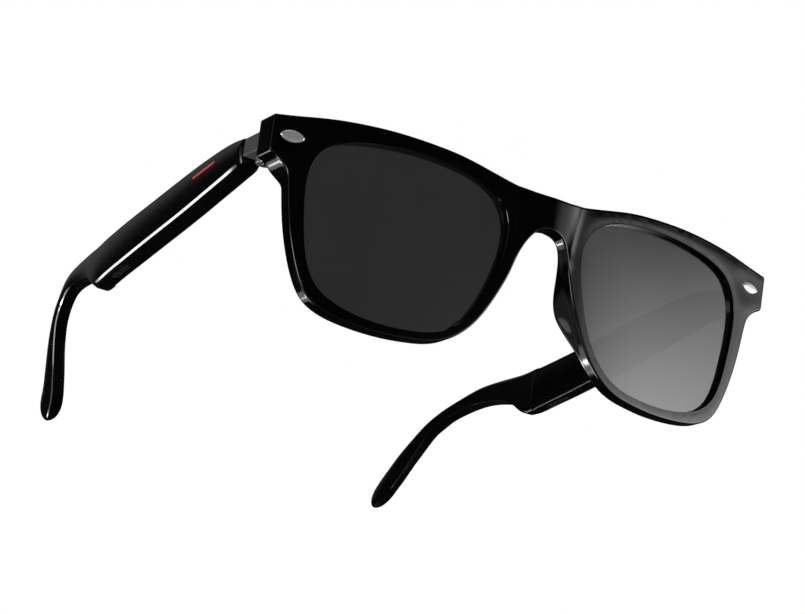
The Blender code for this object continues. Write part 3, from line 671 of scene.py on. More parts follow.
def build_shell(s, mats):
    """Main moulding of a temple, with the seat of its inner cover."""
    side = "left" if s > 0 else "right"
    k = Skin()
    p_a, p_b = param_at(COVER_Y[0] - GAP), param_at(COVER_Y[1] + GAP)
    ts = list(temple_stations())
    rows = []
    # rounded front end
    top, bottom = station(0.0)
    r = 1.25
    for d in (0, 22.5, 45, 67.5):
        w = math.radians(d)
        inset = r * (1 - math.sin(w))
        dy = r * (1 - math.cos(w)) - 0.0
        f, g = np.array(top), np.array(bottom)
        rows.append((0.0, temple_ring(s, f + [dy, 0], g + [dy, 0], inset=inset, front=True)))
    t_ch = None
    chamfer_t = [t for t in ts if station(t)[1][0] > CHAMFER_FROM][0]
    marks = []
    for t in ts:
        top, bottom = station(t)
        if t < 1e-9 or bottom[0] < 22.6 + r:
            continue
        marks.append(t)
    # exact stations at the ends of the polished edge and of the seat
    c_t = param_at(CHAMFER_FROM + 0.02)
    extra = [c_t - 2e-4, c_t + 2e-4]
    marks = sorted([t for t in marks if min(abs(t - c_t), abs(t - p_a), abs(t - p_b)) > 1.5e-3]
                   + extra + [p_a, p_b])
    for t in marks:
        top, bottom = station(t)
        y_mid = 0.5 * (top[0] + bottom[0])
        fr = t < c_t
        if abs(t - p_a) < 1e-9:
            rows.append((t, temple_ring(s, top, bottom)))
            rows.append((t, temple_ring(s, top, bottom, recess=True)))
        elif abs(t - p_b) < 1e-9:
            rows.append((t, temple_ring(s, top, bottom, recess=True)))
            rows.append((t, temple_ring(s, top, bottom)))
        else:
            rows.append((t, temple_ring(s, top, bottom, recess=p_a < t < p_b, front=fr)))
    # rounded ear tip
    last_t, last_b = np.array(TEMPLE[-1][0]), np.array(TEMPLE[-1][1])
    mid = (last_t + last_b) / 2
    dv = np.array(TIP) - mid
    for d in (15, 30, 45, 58, 70, 80, 88):
        w = math.radians(d)
        f = math.sin(w)
        rows.append((1.0, temple_ring(s, last_t + dv * f, last_b + dv * f, scale=max(0.12, math.cos(w)))))
    prev = None
    strips = rows[0][1][1]
    first = None
    for t, (ring, strip) in rows:
        ids = k.ring(ring)
        if prev is not None:
            n = len(ids)
            for i in range(n):
                j = (i + 1) % n
                m = 1 if strip[i] and t > c_t else 0
                k.face((prev[i], prev[j], ids[j], ids[i]), m)
        else:
            first = ids
        prev = ids
    # closed ends as fans about a middle point
    for ids in (first, prev):
        c = np.mean([k.v[i] for i in ids], 0)
        m = k.ring([c])[0]
        for i in range(len(ids)):
            k.face((ids[i], ids[(i + 1) % len(ids)], m))
    return k.object("temple_" + side + "_shell", [mats["temple"], mats["edge"]], 26)


def build_cover(s, mats):
    """Inner cover: a shallow crowned plate with soft edges."""
    side = "left" if s > 0 else "right"
    k = Skin()
    p_a, p_b = param_at(COVER_Y[0] - 0.24), param_at(COVER_Y[1] + 0.24)
    ts = np.linspace(p_a, p_b, 64)
    rows = []
    ends = [(0.0, 0.10), (0.03, 0.04), (0.08, 0.01)]
    plan = [(p_a, e) for e in ends] + [(t, None) for t in ts[1:-1]] + [(p_b, e) for e in ends[::-1]]
    for t, e in plan:
        top, bottom = station(t)
        shift, inset = (0.0, 0.0) if e is None else (e[0] if t == p_a else -e[0], e[1])
        y_mid = 0.5 * (top[0] + bottom[0])
        height = math.hypot(top[0] - bottom[0], top[1] - bottom[1])
        xo, th = float(temple_x(bottom[0])), float(temple_t(y_mid))
        flat = -th - 0.20
        pts = []
        hs = np.linspace(0.066, 0.894, 15)
        for i, u in enumerate(hs):
            uu = (u - 0.06) / 0.84
            a = -th - INNER_CROWN * math.sin(math.pi * (0.08 + 0.84 * uu))
            pts.append([a, u * height])
        # soften the long edges
        pts = [[flat, pts[0][1] + 0.04], [flat - 0.12, pts[0][1] + 0.02]] + pts[0:] \
            + [[flat - 0.12, pts[-1][1] - 0.02], [flat, pts[-1][1] - 0.04]]
        pts[2][1] += 0.14
        pts[-3][1] -= 0.14
        ring = []
        for a, h in pts:
            a = a + (inset if a < flat - 0.15 else 0.0)
            a = min(a, flat)
            u = h / height
            ring.append((s * (xo + a), bottom[0] + (top[0] - bottom[0]) * u + shift,
                         bottom[1] + (top[1] - bottom[1]) * u))
        rows.append(k.ring(ring))
    for a, b in zip(rows[:-1], rows[1:]):
        k.bridge(a, b)
    k.face(rows[0])
    k.face(rows[-1])
    return k.object("temple_" + side + "_cover", [mats["cover"]], 40)


# ------------------------------------------------- solids cut out of others
def extrude_strip(name, s, y0, y1, inner, outer, low, high, n=14):
    k = Skin()
    rows = []
    for y in np.linspace(y0, y1, n):
        a, b = s * inner(y), s * outer(y)
        rows.append(k.ring([(a, y, low(y)), (b, y, low(y)), (b, y, high(y)), (a, y, high(y))]))
    for a, b in zip(rows[:-1], rows[1:]):
        k.bridge(a, b)
    k.face(rows[0])
    k.face(rows[-1])
    return k.object(name, [], 30)


def bar(name, centre, axis, radius, depth, sides=48, flat=None, bevel=0.0, mat=None):
    """Round or oval bar about its centre, with an optional bevel."""
    bm = bmesh.new()
    bmesh.ops.create_cone(bm, cap_ends=True, segments=sides, radius1=radius * MM, radius2=radius * MM,
                          depth=depth * MM)
    if flat:
        bmesh.ops.scale(bm, vec=(flat[0], flat[1], 1), verts=bm.verts)
    if bevel:
        rim = [e for e in bm.edges if abs(e.verts[0].co.z - e.verts[1].co.z) < 1e-9]
        bmesh.ops.bevel(bm, geom=rim, offset=bevel * MM, segments=3, profile=0.5, affect="EDGES")
    rot = Vector((0, 0, 1)).rotation_difference(Vector(axis)).to_matrix().to_4x4()
    bmesh.ops.transform(bm, matrix=Matrix.Translation(place(*centre)) @ rot, verts=bm.verts)
    return from_bmesh(name, bm, mat)


def slab(name, lo, hi, bevel=0.0, mat=None, segments=3):
    bm = bmesh.new()
    bmesh.ops.create_cube(bm, size=1)
    a, b = place(*lo), place(*hi)
    bmesh.ops.scale(bm, vec=b - a, verts=bm.verts)
    bmesh.ops.translate(bm, vec=(a + b) / 2, verts=bm.verts)
    if bevel:
        bmesh.ops.bevel(bm, geom=list(bm.edges), offset=bevel * MM, segments=segments, profile=0.5, affect="EDGES")
    return from_bmesh(name, bm, mat)


def from_bmesh(name, bm, mat=None, sharp=35):
    me = bpy.data.meshes.new(name)
    bmesh.ops.recalc_face_normals(bm, faces=bm.faces)
    bm.to_mesh(me)
    bm.free()
    ob = bpy.data.objects.new(name, me)
    bpy.context.scene.collection.objects.link(ob)
    if mat:
        me.materials.append(mat)
    shade(ob, sharp)
    return ob


def combine(ob, tool, operation="DIFFERENCE", sharp=35):
    """Boolean with the tool, which is then removed."""
    m = ob.modifiers.new("cut", "BOOLEAN")
    m.operation = operation
    m.solver = "EXACT"
    m.object = tool
    bpy.context.view_layer.update()
    me = bpy.data.meshes.new_from_object(ob.evaluated_get(bpy.context.evaluated_depsgraph_get()))
    ob.modifiers.clear()
    old = ob.data
    ob.data = me
    bpy.data.meshes.remove(old)
    me.name = ob.name
    bpy.data.objects.remove(tool, do_unlink=True)
    shade(ob, sharp)
    return ob


def clean(ob, sharp=35):
    bm = bmesh.new()
    bm.from_mesh(ob.data)
    bmesh.ops.remove_doubles(bm, verts=bm.verts, dist=2e-6)
    bmesh.ops.dissolve_degenerate(bm, dist=2e-6, edges=bm.edges)
    bm.to_mesh(ob.data)
    bm.free()
    shade(ob, sharp)


def build_temple(s, mats):
    side = "left" if s > 0 else "right"
    body = "temple_" + side
    shell = build_shell(s, mats)
    cover = build_cover(s, mats)
    y0, y1 = COVER_Y

    def gx(y):
        return float(temple_x(y) - temple_t(y) / 2)

    def outer_wall(y):
        return float(temple_x(y)) + 0.1 - WALL
    combine(shell, extrude_strip("cavity", s, y0 + 1.5, y1 - 1.5, lambda y: split(y) - 0.6, outer_wall,
                                 lambda y: edge_z(1, y) + WALL + 0.2, lambda y: edge_z(0, y) - WALL - 0.5), sharp=26)
    x0, x1 = sorted((s * 68.4, s * 71.4))
    combine(shell, slab("tongue_slot", (x0, 20, -6.7), (x1, 30.0, -2.7)), sharp=26)
    combine(shell, extrude_strip("grille_hole", s, 88.0, 98.0, lambda y: gx(y) - 1.1, lambda y: gx(y) + 1.1,
                                 lambda y: edge_z(1, y) - 2, lambda y: edge_z(1, y) + 3, 4), sharp=26)
    my = 36.0
    combine(shell, bar("mic_port", (s * gx(my), my, edge_z(1, my)), (0, 0, 1), 0.45, 6, 24), sharp=26)

    # charging port, its contacts and the status light in the cover
    cy = 41.0
    cz = 0.5 * (edge_z(0, cy) + edge_z(1, cy)) + 0.4
    xf = inner_face(cy) - 0.05
    combine(cover, bar("port_hole", (s * xf, cy, cz), (s, 0, 0), 1.0, 8, 64, flat=(1.86, 5.26)), sharp=40)
    plate = bar("charging_plate_" + side, (s * (xf + 0.75), cy, cz), (s, 0, 0), 1.0, 1.2, 64, flat=(1.7, 5.1),
                bevel=0.16, mat=mats["port"])
    pins = []
    for nm, y in (("front", cy - 2.2), ("rear", cy + 2.2)):
        combine(plate, bar("pin_hole", (s * (xf + 0.75), y, cz), (1, 0, 0), 0.95, 4, 40), sharp=40)
        k = Skin()
        prof = [(0.75, 0.75), (0.75, -0.45), (0.68, -0.58), (0.5, -0.68), (0.25, -0.74)]
        rows = [k.ring([(s * (xf + 0.85 + dx), y + r * math.cos(a), cz + r * math.sin(a))
                        for a in np.linspace(0, 2 * math.pi, 40, endpoint=False)]) for r, dx in prof]
        for a, b in zip(rows[:-1], rows[1:]):
            k.bridge(a, b)
        for ids, dx in ((rows[0], 0.75), (rows[-1], -0.76)):
            c = k.ring([(s * (xf + 0.85 + dx), y, cz)])[0]
            for i in range(len(ids)):
                k.face((ids[i], ids[(i + 1) % len(ids)], c))
        pins.append((nm, k.object("charging_contact_%s_%s" % (nm, side), [mats["contact"]], 50)))
    ly = 54.0
    lz = 0.5 * (edge_z(0, ly) + edge_z(1, ly)) + 0.4
    lx = inner_face(ly)
    combine(cover, bar("light_hole", (s * lx, ly, lz), (1, 0, 0), 0.74, 8, 40), sharp=40)
    light = bar("status_light_" + side, (s * (lx + 0.75), ly, lz), (1, 0, 0), 0.6, 1.2, 40, bevel=0.18,
                mat=mats["light"])

    if s < 0:
        build_marker(shell, mats)
    for ob, nodes, slot in ((shell, ["temple_shell_" + side], "temple"), (cover, ["temple_cover_" + side], "cover"),
                            (plate, ["charging_port_" + side], "port"),
                            (light, ["light_guide_" + side], "light_guide"),
                            *[(p, ["charging_pin_%s_%s" % (nm, side)], "contact") for nm, p in pins]):
        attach(ob, body)
        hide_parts(*nodes)
    for node in ("circuit_board", "battery", "touch_pad", "speaker", "speaker_grille", "microphone", "core_wire"):
        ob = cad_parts[node + "_" + side]
        ob.data.materials.clear()
        ob.data.materials.append(mats[node])


def build_marker(shell, mats):
    """Thin red strip with round ends let into the outer face."""
    ya, yb, za, slope = 37.3, 49.0, -4.8, -1.7 / 11.7
    th = math.atan(slope)

    def outline(r):
        pts = []
        for c, (y, z) in ((0, (yb - 0.35 * math.cos(th), za + slope * (yb - 0.35 - ya))),
                          (180, (ya + 0.35 * math.cos(th), za + slope * 0.35))):
            for d in range(-90, 91, 15):
                w = math.radians(d + c) + th
                pts.append((y + r * math.cos(w), z + r * math.sin(w)))
        return even(pts, 0.35, closed=True)

    # every ring needs the same number of points
    base = outline(0.35)
    n = len(base)

    def ring_pts(r):
        c = base.mean(0)
        return offset(base, r - 0.35)

    def build(name, rings, m):
        k = Skin()
        rows = [k.ring([(-(face_x(y, z) + dx), y, z) for y, z in ring_pts(r)]) for r, dx in rings]
        for a, b in zip(rows[:-1], rows[1:]):
            k.bridge(a, b)
        for r_ids, (r, dx) in ((rows[0], rings[0]), (rows[-1], rings[-1])):
            loop = ring_pts(r)
            fill(k, [loop], [r_ids], 0.3, lambda q: np.array([(-(face_x(y, z) + dx), y, z) for y, z in q]))
        return k.object(name, m, 40)
    cut = build("marker_cut", [(0.45, -0.62), (0.45, 1.0)], [])
    combine(shell, cut, sharp=26)
    mark = build("marker_strip", [(0.35, -0.45), (0.35, 0.03), (0.31, 0.10), (0.22, 0.13)], [mats["marker"]])
    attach(mark, "temple_right")
    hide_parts("touch_marker")


def build_hinge(s, mats):
    side = "left" if s > 0 else "right"

    def b(name, x0, x1, y0, y1, z0, z1, bevel=0.0, mat=None):
        return slab(name, (min(s * x0, s * x1), y0, z0), (max(s * x0, s * x1), y1, z1), bevel, mat)
    leaf = b("hinge_plate_" + side, 68.0, 72.2, ENDPIECE_BACK + 0.3, ENDPIECE_BACK + 0.6, -9.6, -0.9, 0.08, mats["hinge_metal"])
    for z0, z1 in ((-2.1, -0.9), (-9.6, -7.3)):
        combine(leaf, b("web", 68.2, 70.4, ENDPIECE_BACK + 0.45, HINGE_Y, z0 + 0.02, z1 - 0.02), "UNION")
        combine(leaf, bar("knuckle", (s * HINGE_X, HINGE_Y, (z0 + z1) / 2), (0, 0, 1), KNUCKLE_R, z1 - z0, 64,
                          bevel=0.22), "UNION")
    combine(leaf, bar("bore", (s * HINGE_X, HINGE_Y, -5.3), (0, 0, 1), BORE_R, 16, 40))
    block = b("hinge_block_" + side, HINGE_X, 72.7, 14.6, 22.2, -7.0, -2.4, 0.28, mats["hinge_grey"])
    combine(block, bar("knuckle", (s * HINGE_X, HINGE_Y, -4.7), (0, 0, 1), KNUCKLE_R, 4.6, 64, bevel=0.22), "UNION")
    for x0, x1, y0, y1, z0, z1 in ((67.7, 70.0, 18.9, 22.2, -7.0, -2.4), (68.7, 71.1, 22.0, 29.5, -6.4, -3.0)):
        combine(block, b("part", x0, x1, y0, y1, z0, z1, 0.2), "UNION")
    combine(block, bar("bore", (s * HINGE_X, HINGE_Y, -5.3), (0, 0, 1), BORE_R, 16, 40))
    screw = bar("hinge_pin_" + side, (s * HINGE_X, HINGE_Y, -5.05), (0, 0, 1), PIN_R, 9.3, 40, bevel=0.12,
                mat=mats["steel"])
    combine(screw, bar("head", (s * HINGE_X, HINGE_Y, -0.25), (0, 0, 1), 1.45, 0.7, 48, bevel=0.22), "UNION")
    combine(screw, slab("slot", (s * HINGE_X - 2, HINGE_Y - 0.2, -0.2), (s * HINGE_X + 2, HINGE_Y + 0.2, 0.5)))
    for ob, node, body, slot in ((leaf, "hinge_front_leaf_", "front", "hinge_metal"),
                                 (block, "hinge_temple_leaf_", "temple_" + side, "hinge_grey"),
                                 (screw, "hinge_screw_", "front", "steel")):
        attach(ob, body)
        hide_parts(node + side)


# ----------------------------------------------------------------- materials
def new_material(name):
    m = bpy.data.materials.new(name)
    m.use_nodes = True
    nt = m.node_tree
    return m, nt, nt.nodes["Principled BSDF"]


def coords(nt, stretch=(1, 1, 1)):
    tc = nt.nodes.new("ShaderNodeTexCoord")
    mp = nt.nodes.new("ShaderNodeMapping")
    mp.inputs["Scale"].default_value = stretch
    nt.links.new(tc.outputs["Object"], mp.inputs["Vector"])
    return mp.outputs["Vector"]


def noise(nt, vec, scale, detail=3.0, rough=0.5):
    n = nt.nodes.new("ShaderNodeTexNoise")
    n.inputs["Scale"].default_value = scale
    n.inputs["Detail"].default_value = detail
    n.inputs["Roughness"].default_value = rough
    nt.links.new(vec, n.inputs["Vector"])
    return n.outputs["Fac"]


def remap(nt, value, lo, hi, a, b):
    r = nt.nodes.new("ShaderNodeMapRange")
    r.inputs["From Min"].default_value = lo
    r.inputs["From Max"].default_value = hi
    r.inputs["To Min"].default_value = a
    r.inputs["To Max"].default_value = b
    nt.links.new(value, r.inputs["Value"])
    return r.outputs["Result"]


def mix_colour(nt, fac, a, b):
    m = nt.nodes.new("ShaderNodeMix")
    m.data_type = "RGBA"
    for sock, val in ((m.inputs[6], a), (m.inputs[7], b)):
        if isinstance(val, bpy.types.NodeSocket):
            nt.links.new(val, sock)
        else:
            sock.default_value = (*val, 1)
    nt.links.new(fac, m.inputs[0])
    return m.outputs[2]


def bump(nt, p, height, distance, strength=1.0):
    b = nt.nodes.new("ShaderNodeBump")
    b.inputs["Strength"].default_value = strength
    b.inputs["Distance"].default_value = distance
    nt.links.new(height, b.inputs["Height"])
    nt.links.new(b.outputs["Normal"], p.inputs["Normal"])


def surface(name, a, b, rough, metal=0.0, colour_scale=300, rough_scale=900, grain=(4000, 2e-6), stretch=(1, 1, 1),
            ior=1.5, coat=0.0, coat_rough=0.05, spec=0.5):
    """Moulded or machined surface: two close tones, uneven gloss, fine grain."""
    m, nt, p = new_material(name)
    v = coords(nt, stretch)
    tone = remap(nt, noise(nt, v, colour_scale, 4), 0.35, 0.65, 0, 1)
    nt.links.new(mix_colour(nt, tone, a, b), p.inputs["Base Color"])
    nt.links.new(remap(nt, noise(nt, v, rough_scale, 5, 0.6), 0.3, 0.7, *rough), p.inputs["Roughness"])
    p.inputs["Metallic"].default_value = metal
    p.inputs["IOR"].default_value = ior
    p.inputs["Specular IOR Level"].default_value = spec
    p.inputs["Coat Weight"].default_value = coat
    p.inputs["Coat Roughness"].default_value = coat_rough
    bump(nt, p, noise(nt, v, grain[0], 2), grain[1])
    return m


def board_material():
    """Green solder resist with pale copper runs and pads."""
    m, nt, p = new_material("board_green")
    v = coords(nt)
    br = nt.nodes.new("ShaderNodeTexBrick")
    br.inputs["Scale"].default_value = 420
    br.inputs["Mortar Size"].default_value = 0.03
    br.inputs["Color1"].default_value = (0.006, 0.07, 0.03, 1)
    br.inputs["Color2"].default_value = (0.008, 0.10, 0.045, 1)
    br.inputs["Mortar"].default_value = (0.02, 0.20, 0.09, 1)
    sep = nt.nodes.new("ShaderNodeMapping")
    sep.inputs["Rotation"].default_value = (0, math.pi / 2, 0)
    nt.links.new(v, sep.inputs["Vector"])
    nt.links.new(sep.outputs["Vector"], br.inputs["Vector"])
    vo = nt.nodes.new("ShaderNodeTexVoronoi")
    vo.inputs["Scale"].default_value = 700
    nt.links.new(v, vo.inputs["Vector"])
    pad = remap(nt, vo.outputs["Distance"], 0.16, 0.2, 1, 0)
    nt.links.new(mix_colour(nt, pad, br.outputs["Color"], (0.55, 0.42, 0.2)), p.inputs["Base Color"])
    nt.links.new(remap(nt, noise(nt, v, 1200), 0.3, 0.7, 0.3, 0.45), p.inputs["Roughness"])
    bump(nt, p, pad, 2e-5)
    return m


def grille_material():
    """Fine metal mesh: a woven pattern of dark gaps."""
    m, nt, p = new_material("grille_mesh")
    v = coords(nt)
    waves = []
    for turn in (math.pi / 4, -math.pi / 4):
        mp = nt.nodes.new("ShaderNodeMapping")
        mp.inputs["Rotation"].default_value = (0, 0, turn)
        nt.links.new(v, mp.inputs["Vector"])
        w = nt.nodes.new("ShaderNodeTexWave")
        w.inputs["Scale"].default_value = 900
        nt.links.new(mp.outputs["Vector"], w.inputs["Vector"])
        waves.append(w.outputs["Fac"])
    mx = nt.nodes.new("ShaderNodeMath")
    mx.operation = "MAXIMUM"
    nt.links.new(waves[0], mx.inputs[0])
    nt.links.new(waves[1], mx.inputs[1])
    nt.links.new(mix_colour(nt, mx.outputs[0], (0.01, 0.01, 0.01), (0.10, 0.10, 0.105)), p.inputs["Base Color"])
    p.inputs["Metallic"].default_value = 0.8
    nt.links.new(remap(nt, noise(nt, v, 1500), 0.3, 0.7, 0.35, 0.5), p.inputs["Roughness"])
    bump(nt, p, mx.outputs[0], 3e-5)
    return m


def lens_material():
    """Smoke-grey lens: it lets through about two parts in a hundred."""
    m, nt, p = new_material("lens_smoke")
    v = coords(nt)
    tone = remap(nt, noise(nt, v, 60, 3), 0.35, 0.65, 0, 1)
    nt.links.new(mix_colour(nt, tone, (0.0035, 0.0035, 0.0038), (0.0055, 0.0055, 0.006)), p.inputs["Base Color"])
    nt.links.new(remap(nt, noise(nt, v, 130, 4), 0.3, 0.7, 0.08, 0.11), p.inputs["Roughness"])
    p.inputs["IOR"].default_value = 1.9
    p.inputs["Alpha"].default_value = 0.864
    return m


def make_materials():
    mats = {}
    mats["frame"] = surface("frame_gloss_black", (0.0003, 0.0003, 0.00035), (0.0009, 0.0009, 0.001), (0.045, 0.08),
                            colour_scale=160, rough_scale=500, grain=(900, 1.5e-6), ior=1.5)
    mats["temple"] = surface("temple_satin_black", (0.0006, 0.0006, 0.0007), (0.0014, 0.0014, 0.0016), (0.16, 0.21),
                             colour_scale=240, rough_scale=700, grain=(2500, 8e-7), ior=1.5)
    mats["edge"] = surface("temple_polished_edge", (0.003, 0.003, 0.003), (0.005, 0.005, 0.005), (0.08, 0.12),
                           grain=(1500, 5e-7), ior=3.0)
    mats["cover"] = surface("cover_matt_black", (0.0004, 0.0004, 0.0005), (0.0012, 0.0012, 0.0013), (0.22, 0.29),
                            colour_scale=500, rough_scale=900, grain=(2500, 1e-6), spec=0.16)
    mats["rivet"] = surface("rivet_polished", (0.62, 0.63, 0.64), (0.72, 0.72, 0.73), (0.16, 0.26), 0.72,
                            colour_scale=800, rough_scale=2500, grain=(6000, 2e-6), stretch=(0.12, 1, 1))
    mats["hinge_metal"] = surface("hinge_bright", (0.50, 0.50, 0.52), (0.64, 0.64, 0.66), (0.20, 0.32), 0.85,
                                  colour_scale=600, rough_scale=1800, grain=(5000, 3e-6), stretch=(1, 1, 0.2))
    mats["hinge_grey"] = surface("hinge_grey", (0.10, 0.10, 0.105), (0.135, 0.135, 0.14), (0.30, 0.42), 0.45,
                                 colour_scale=900, rough_scale=2400, grain=(7000, 5e-6))
    mats["steel"] = surface("screw_steel", (0.48, 0.48, 0.50), (0.60, 0.60, 0.62), (0.18, 0.30), 1.0,
                            colour_scale=900, rough_scale=2600, grain=(6000, 3e-6), stretch=(1, 1, 0.15))
    mats["marker"] = surface("marker_red", (0.62, 0.045, 0.03), (0.75, 0.07, 0.045), (0.22, 0.32),
                             colour_scale=700, rough_scale=1500, grain=(5000, 2e-6), coat=0.4)
    mats["port"] = surface("port_black", (0.006, 0.006, 0.006), (0.012, 0.012, 0.012), (0.28, 0.38),
                           colour_scale=900, rough_scale=2500, grain=(9000, 4e-6))
    mats["contact"] = surface("contact_gold", (0.74, 0.50, 0.18), (0.86, 0.63, 0.27), (0.16, 0.28), 1.0,
                              colour_scale=1200, rough_scale=3500, grain=(7000, 2e-6))
    mats["light"] = surface("status_light", (0.72, 0.75, 0.78), (0.82, 0.85, 0.88), (0.18, 0.28),
                            colour_scale=900, rough_scale=2000, grain=(6000, 2e-6), coat=0.3)
    mats["battery"] = surface("battery_foil", (0.42, 0.42, 0.44), (0.56, 0.56, 0.58), (0.28, 0.42), 0.85,
                              colour_scale=200, rough_scale=700, grain=(1400, 4e-5))
    mats["touch_pad"] = surface("touch_film", (0.42, 0.20, 0.08), (0.60, 0.32, 0.14), (0.28, 0.40), 0.9,
                                colour_scale=600, rough_scale=1500, grain=(2500, 5e-6), stretch=(1, 0.2, 1))
    mats["speaker"] = surface("speaker_black", (0.016, 0.016, 0.017), (0.032, 0.032, 0.034), (0.42, 0.55),
                              colour_scale=700, rough_scale=2000, grain=(5000, 1e-5))
    mats["microphone"] = mats["steel"]
    mats["core_wire"] = mats["steel"]
    mats["circuit_board"] = board_material()
    mats["speaker_grille"] = grille_material()
    mats["lens"] = lens_material()
    return mats


# ---------------------------------------------------------- stage and light
def az_el(az, el):
    """Direction from compass azimuth (0 towards +Y, 90 towards +X)."""
    a, e = math.radians(az), math.radians(el)
    return math.sin(a) * math.cos(e), math.cos(a) * math.cos(e), math.sin(e)


def softbox(nt, direction, az, el, az_full, az_fade, el_full_lo, el_fade_lo, el_full_hi, el_fade_hi, strength):
    """Soft light in the world, bounded in azimuth and in elevation."""
    sep = nt.nodes.new("ShaderNodeSeparateXYZ")
    nt.links.new(direction, sep.inputs[0])
    ux, uy = math.sin(math.radians(az)), math.cos(math.radians(az))

    def math_node(op, a, b=None, clamp=False):
        n = nt.nodes.new("ShaderNodeMath")
        n.operation = op
        n.use_clamp = clamp
        for i, v in enumerate((a, b)):
            if v is None:
                continue
            if isinstance(v, bpy.types.NodeSocket):
                nt.links.new(v, n.inputs[i])
            else:
                n.inputs[i].default_value = v
        return n.outputs[0]

    def ramp(value, a, b):
        r = nt.nodes.new("ShaderNodeMapRange")
        r.interpolation_type = "SMOOTHSTEP"
        r.inputs["From Min"].default_value = a
        r.inputs["From Max"].default_value = b
        nt.links.new(value, r.inputs["Value"])
        return r.outputs["Result"]
    x, y, z = sep.outputs
    flat = math_node("SQRT", math_node("ADD", math_node("MULTIPLY", x, x), math_node("MULTIPLY", y, y)))
    dot = math_node("ADD", math_node("MULTIPLY", x, ux), math_node("MULTIPLY", y, uy))
    cosaz = math_node("DIVIDE", dot, math_node("MAXIMUM", flat, 1e-4))
    daz = math_node("ARCCOSINE", math_node("MINIMUM", math_node("MAXIMUM", cosaz, -1.0), 1.0))
    elev = math_node("ARCSINE", z)
    r = math.radians
    a1 = ramp(math_node("MULTIPLY", daz, -1.0), -r(az_fade), -r(az_full))
    e1 = ramp(elev, r(el_fade_lo), r(el_full_lo))
    e2 = ramp(math_node("MULTIPLY", elev, -1.0), -r(el_fade_hi), -r(el_full_hi))
    out = math_node("MULTIPLY", math_node("MULTIPLY", a1, e1), e2)
    return math_node("MULTIPLY", out, strength)


BOXES = [
    # az, el(unused), az full, az fade, el lo full, lo fade, hi full, hi fade, strength
    (125.5, 0, 5, 24, -4, -22, 10, 22, 4.2),     # key, to the wearer's left of the front
    (150, 0, 6, 24, -6, -20, 4, 19, 0.4),        # its soft spill
    (-112, 0, 10, 34, 6, -14, 24, 40, 0.35),     # side light for the endpiece edges
    (-118, 0, 10, 18, -12, -20, -2, 4, 7.0),     # low side light for the edge beside the nose
    (-26, 0, 8, 12, -44, -47, -34, -31, 4.5),    # low strip behind, for the temple's polished edge
    (-22, 0, 3.5, 5.5, -27.5, -29.5, -26.5, -24.5, 14.0),  # small low light, for the notch and nose glints
    (-44, 0, 17, 20, -38, -42, -34, -31.5, 1.3),     # low side strips, for the ear pieces' edges
    (-76, 0, 13, 16, -38, -42, -26, -23.5, 1.3),
    (-62, 0, 22, 36, -30, -36, -12, -4, 0.22),       # faint low side fill
    (-22, 0, 8, 12, -31, -34, -20.5, -18, 1.3),      # and its end under the housing
    (180, 0, 20, 50, -16, -34, -10, 4, 0.3),     # low front fill
    (0, 0, 180, 181, 80, 68, 90, 91, 0.8),       # overhead
    (6, 0, 14, 34, 16, 6, 40, 56, 0.12),         # high light behind
]


def build_world():
    w = bpy.data.worlds.new("studio")
    bpy.context.scene.world = w
    w.use_nodes = True
    w.cycles.sampling_method = "NONE"
    nt = w.node_tree
    for n in list(nt.nodes):
        nt.nodes.remove(n)
    out = nt.nodes.new("ShaderNodeOutputWorld")
    tc = nt.nodes.new("ShaderNodeTexCoord")
    lp = nt.nodes.new("ShaderNodeLightPath")
    total = None
    for b in BOXES:
        v = softbox(nt, tc.outputs["Generated"], *b)
        if total is None:
            total = v
        else:
            n = nt.nodes.new("ShaderNodeMath")
            n.operation = "ADD"
            nt.links.new(total, n.inputs[0])
            nt.links.new(v, n.inputs[1])
            total = n.outputs[0]
    add = nt.nodes.new("ShaderNodeMath")
    add.operation = "ADD"
    nt.links.new(total, add.inputs[0])
    add.inputs[1].default_value = 0.012
    gloss = nt.nodes.new("ShaderNodeBackground")
    nt.links.new(add.outputs[0], gloss.inputs["Strength"])
    gloss.inputs["Color"].default_value = (1, 1, 1, 1)
    soft = nt.nodes.new("ShaderNodeBackground")
    soft.inputs["Strength"].default_value = 0.9
    soft.inputs["Color"].default_value = (1, 1, 1, 1)
    seen = nt.nodes.new("ShaderNodeBackground")
    seen.inputs["Strength"].default_value = 1.0
    seen.inputs["Color"].default_value = (1, 1, 1, 1)
    m1 = nt.nodes.new("ShaderNodeMixShader")
    m2 = nt.nodes.new("ShaderNodeMixShader")
    nt.links.new(lp.outputs["Is Glossy Ray"], m1.inputs[0])
    nt.links.new(soft.outputs[0], m1.inputs[1])
    nt.links.new(gloss.outputs[0], m1.inputs[2])
    nt.links.new(lp.outputs["Is Camera Ray"], m2.inputs[0])
    nt.links.new(m1.outputs[0], m2.inputs[1])
    nt.links.new(seen.outputs[0], m2.inputs[2])
    nt.links.new(m2.outputs[0], out.inputs["Surface"])


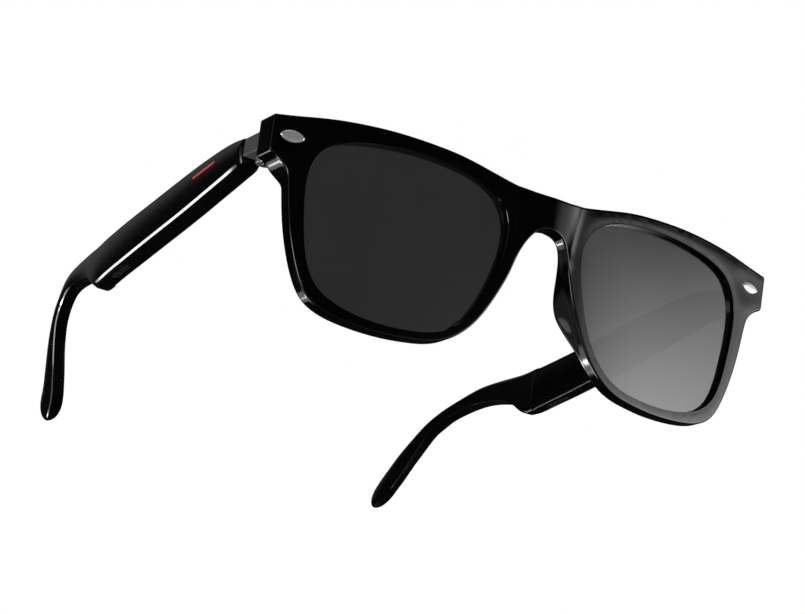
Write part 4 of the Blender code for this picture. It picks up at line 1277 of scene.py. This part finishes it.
def build_stage():
    bm = bmesh.new()
    bmesh.ops.create_circle(bm, cap_ends=True, segments=96, radius=9.0)
    bmesh.ops.translate(bm, vec=(0, 0, -0.36), verts=bm.verts)
    me = bpy.data.meshes.new("floor")
    bm.to_mesh(me)
    bm.free()
    floor = bpy.data.objects.new("floor", me)
    bpy.context.scene.collection.objects.link(floor)
    m, nt, p = new_material("floor_pale")
    v = coords(nt)
    nt.links.new(mix_colour(nt, noise(nt, v, 3, 3), (0.92, 0.92, 0.92), (0.95, 0.95, 0.95)), p.inputs["Base Color"])
    p.inputs["Roughness"].default_value = 0.9
    p.inputs["Specular IOR Level"].default_value = 0.1
    me.materials.append(m)
    floor.visible_glossy = False

    la = bpy.data.lights.new("overhead", "AREA")
    la.shape = "DISK"
    la.size = 0.9
    la.energy = 5.0
    lo = bpy.data.objects.new("overhead", la)
    lo.location = (0.1, 0.05, 1.1)
    lo.visible_glossy = False
    bpy.context.scene.collection.objects.link(lo)


def build_camera():
    az, el, roll = (math.radians(a) for a in (-28.385928, -16.619757, 8.240241))
    back = Vector((math.sin(az) * math.cos(el), -math.cos(az) * math.cos(el), math.sin(el)))
    d = -back
    r = d.cross(Vector((0, 0, 1))).normalized()
    u = r.cross(d)
    right = math.cos(roll) * r + math.sin(roll) * u
    up = -math.sin(roll) * r + math.cos(roll) * u
    loc = Vector((-0.33563597, -0.63717613, -0.18055896))
    cam = bpy.data.cameras.new("camera")
    cam.sensor_width = 36
    cam.sensor_fit = "HORIZONTAL"
    cam.lens = 2777.379 * 36 / 805
    cam.clip_start, cam.clip_end = 0.01, 50
    ob = bpy.data.objects.new("camera", cam)
    bpy.context.scene.collection.objects.link(ob)
    m = Matrix((right, up, back)).transposed().to_4x4()
    m.translation = loc
    ob.matrix_world = m
    bpy.context.scene.camera = ob


def main():
    build_camera()
    mats = make_materials()
    front = build_front(mats)
    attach(front, "front")
    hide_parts("front_frame")
    for s in (-1, 1):
        side = "left" if s > 0 else "right"
        lens = build_lens(s, mats)
        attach(lens, "front")
        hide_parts("lens_" + side)
        rivet = build_rivet(s, mats)
        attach(rivet, "front")
        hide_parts("rivet_" + side)
        build_hinge(s, mats)
        build_temple(s, mats)
    build_world()
    build_stage()
    bpy.context.scene.view_settings.view_transform = "Standard"


main()
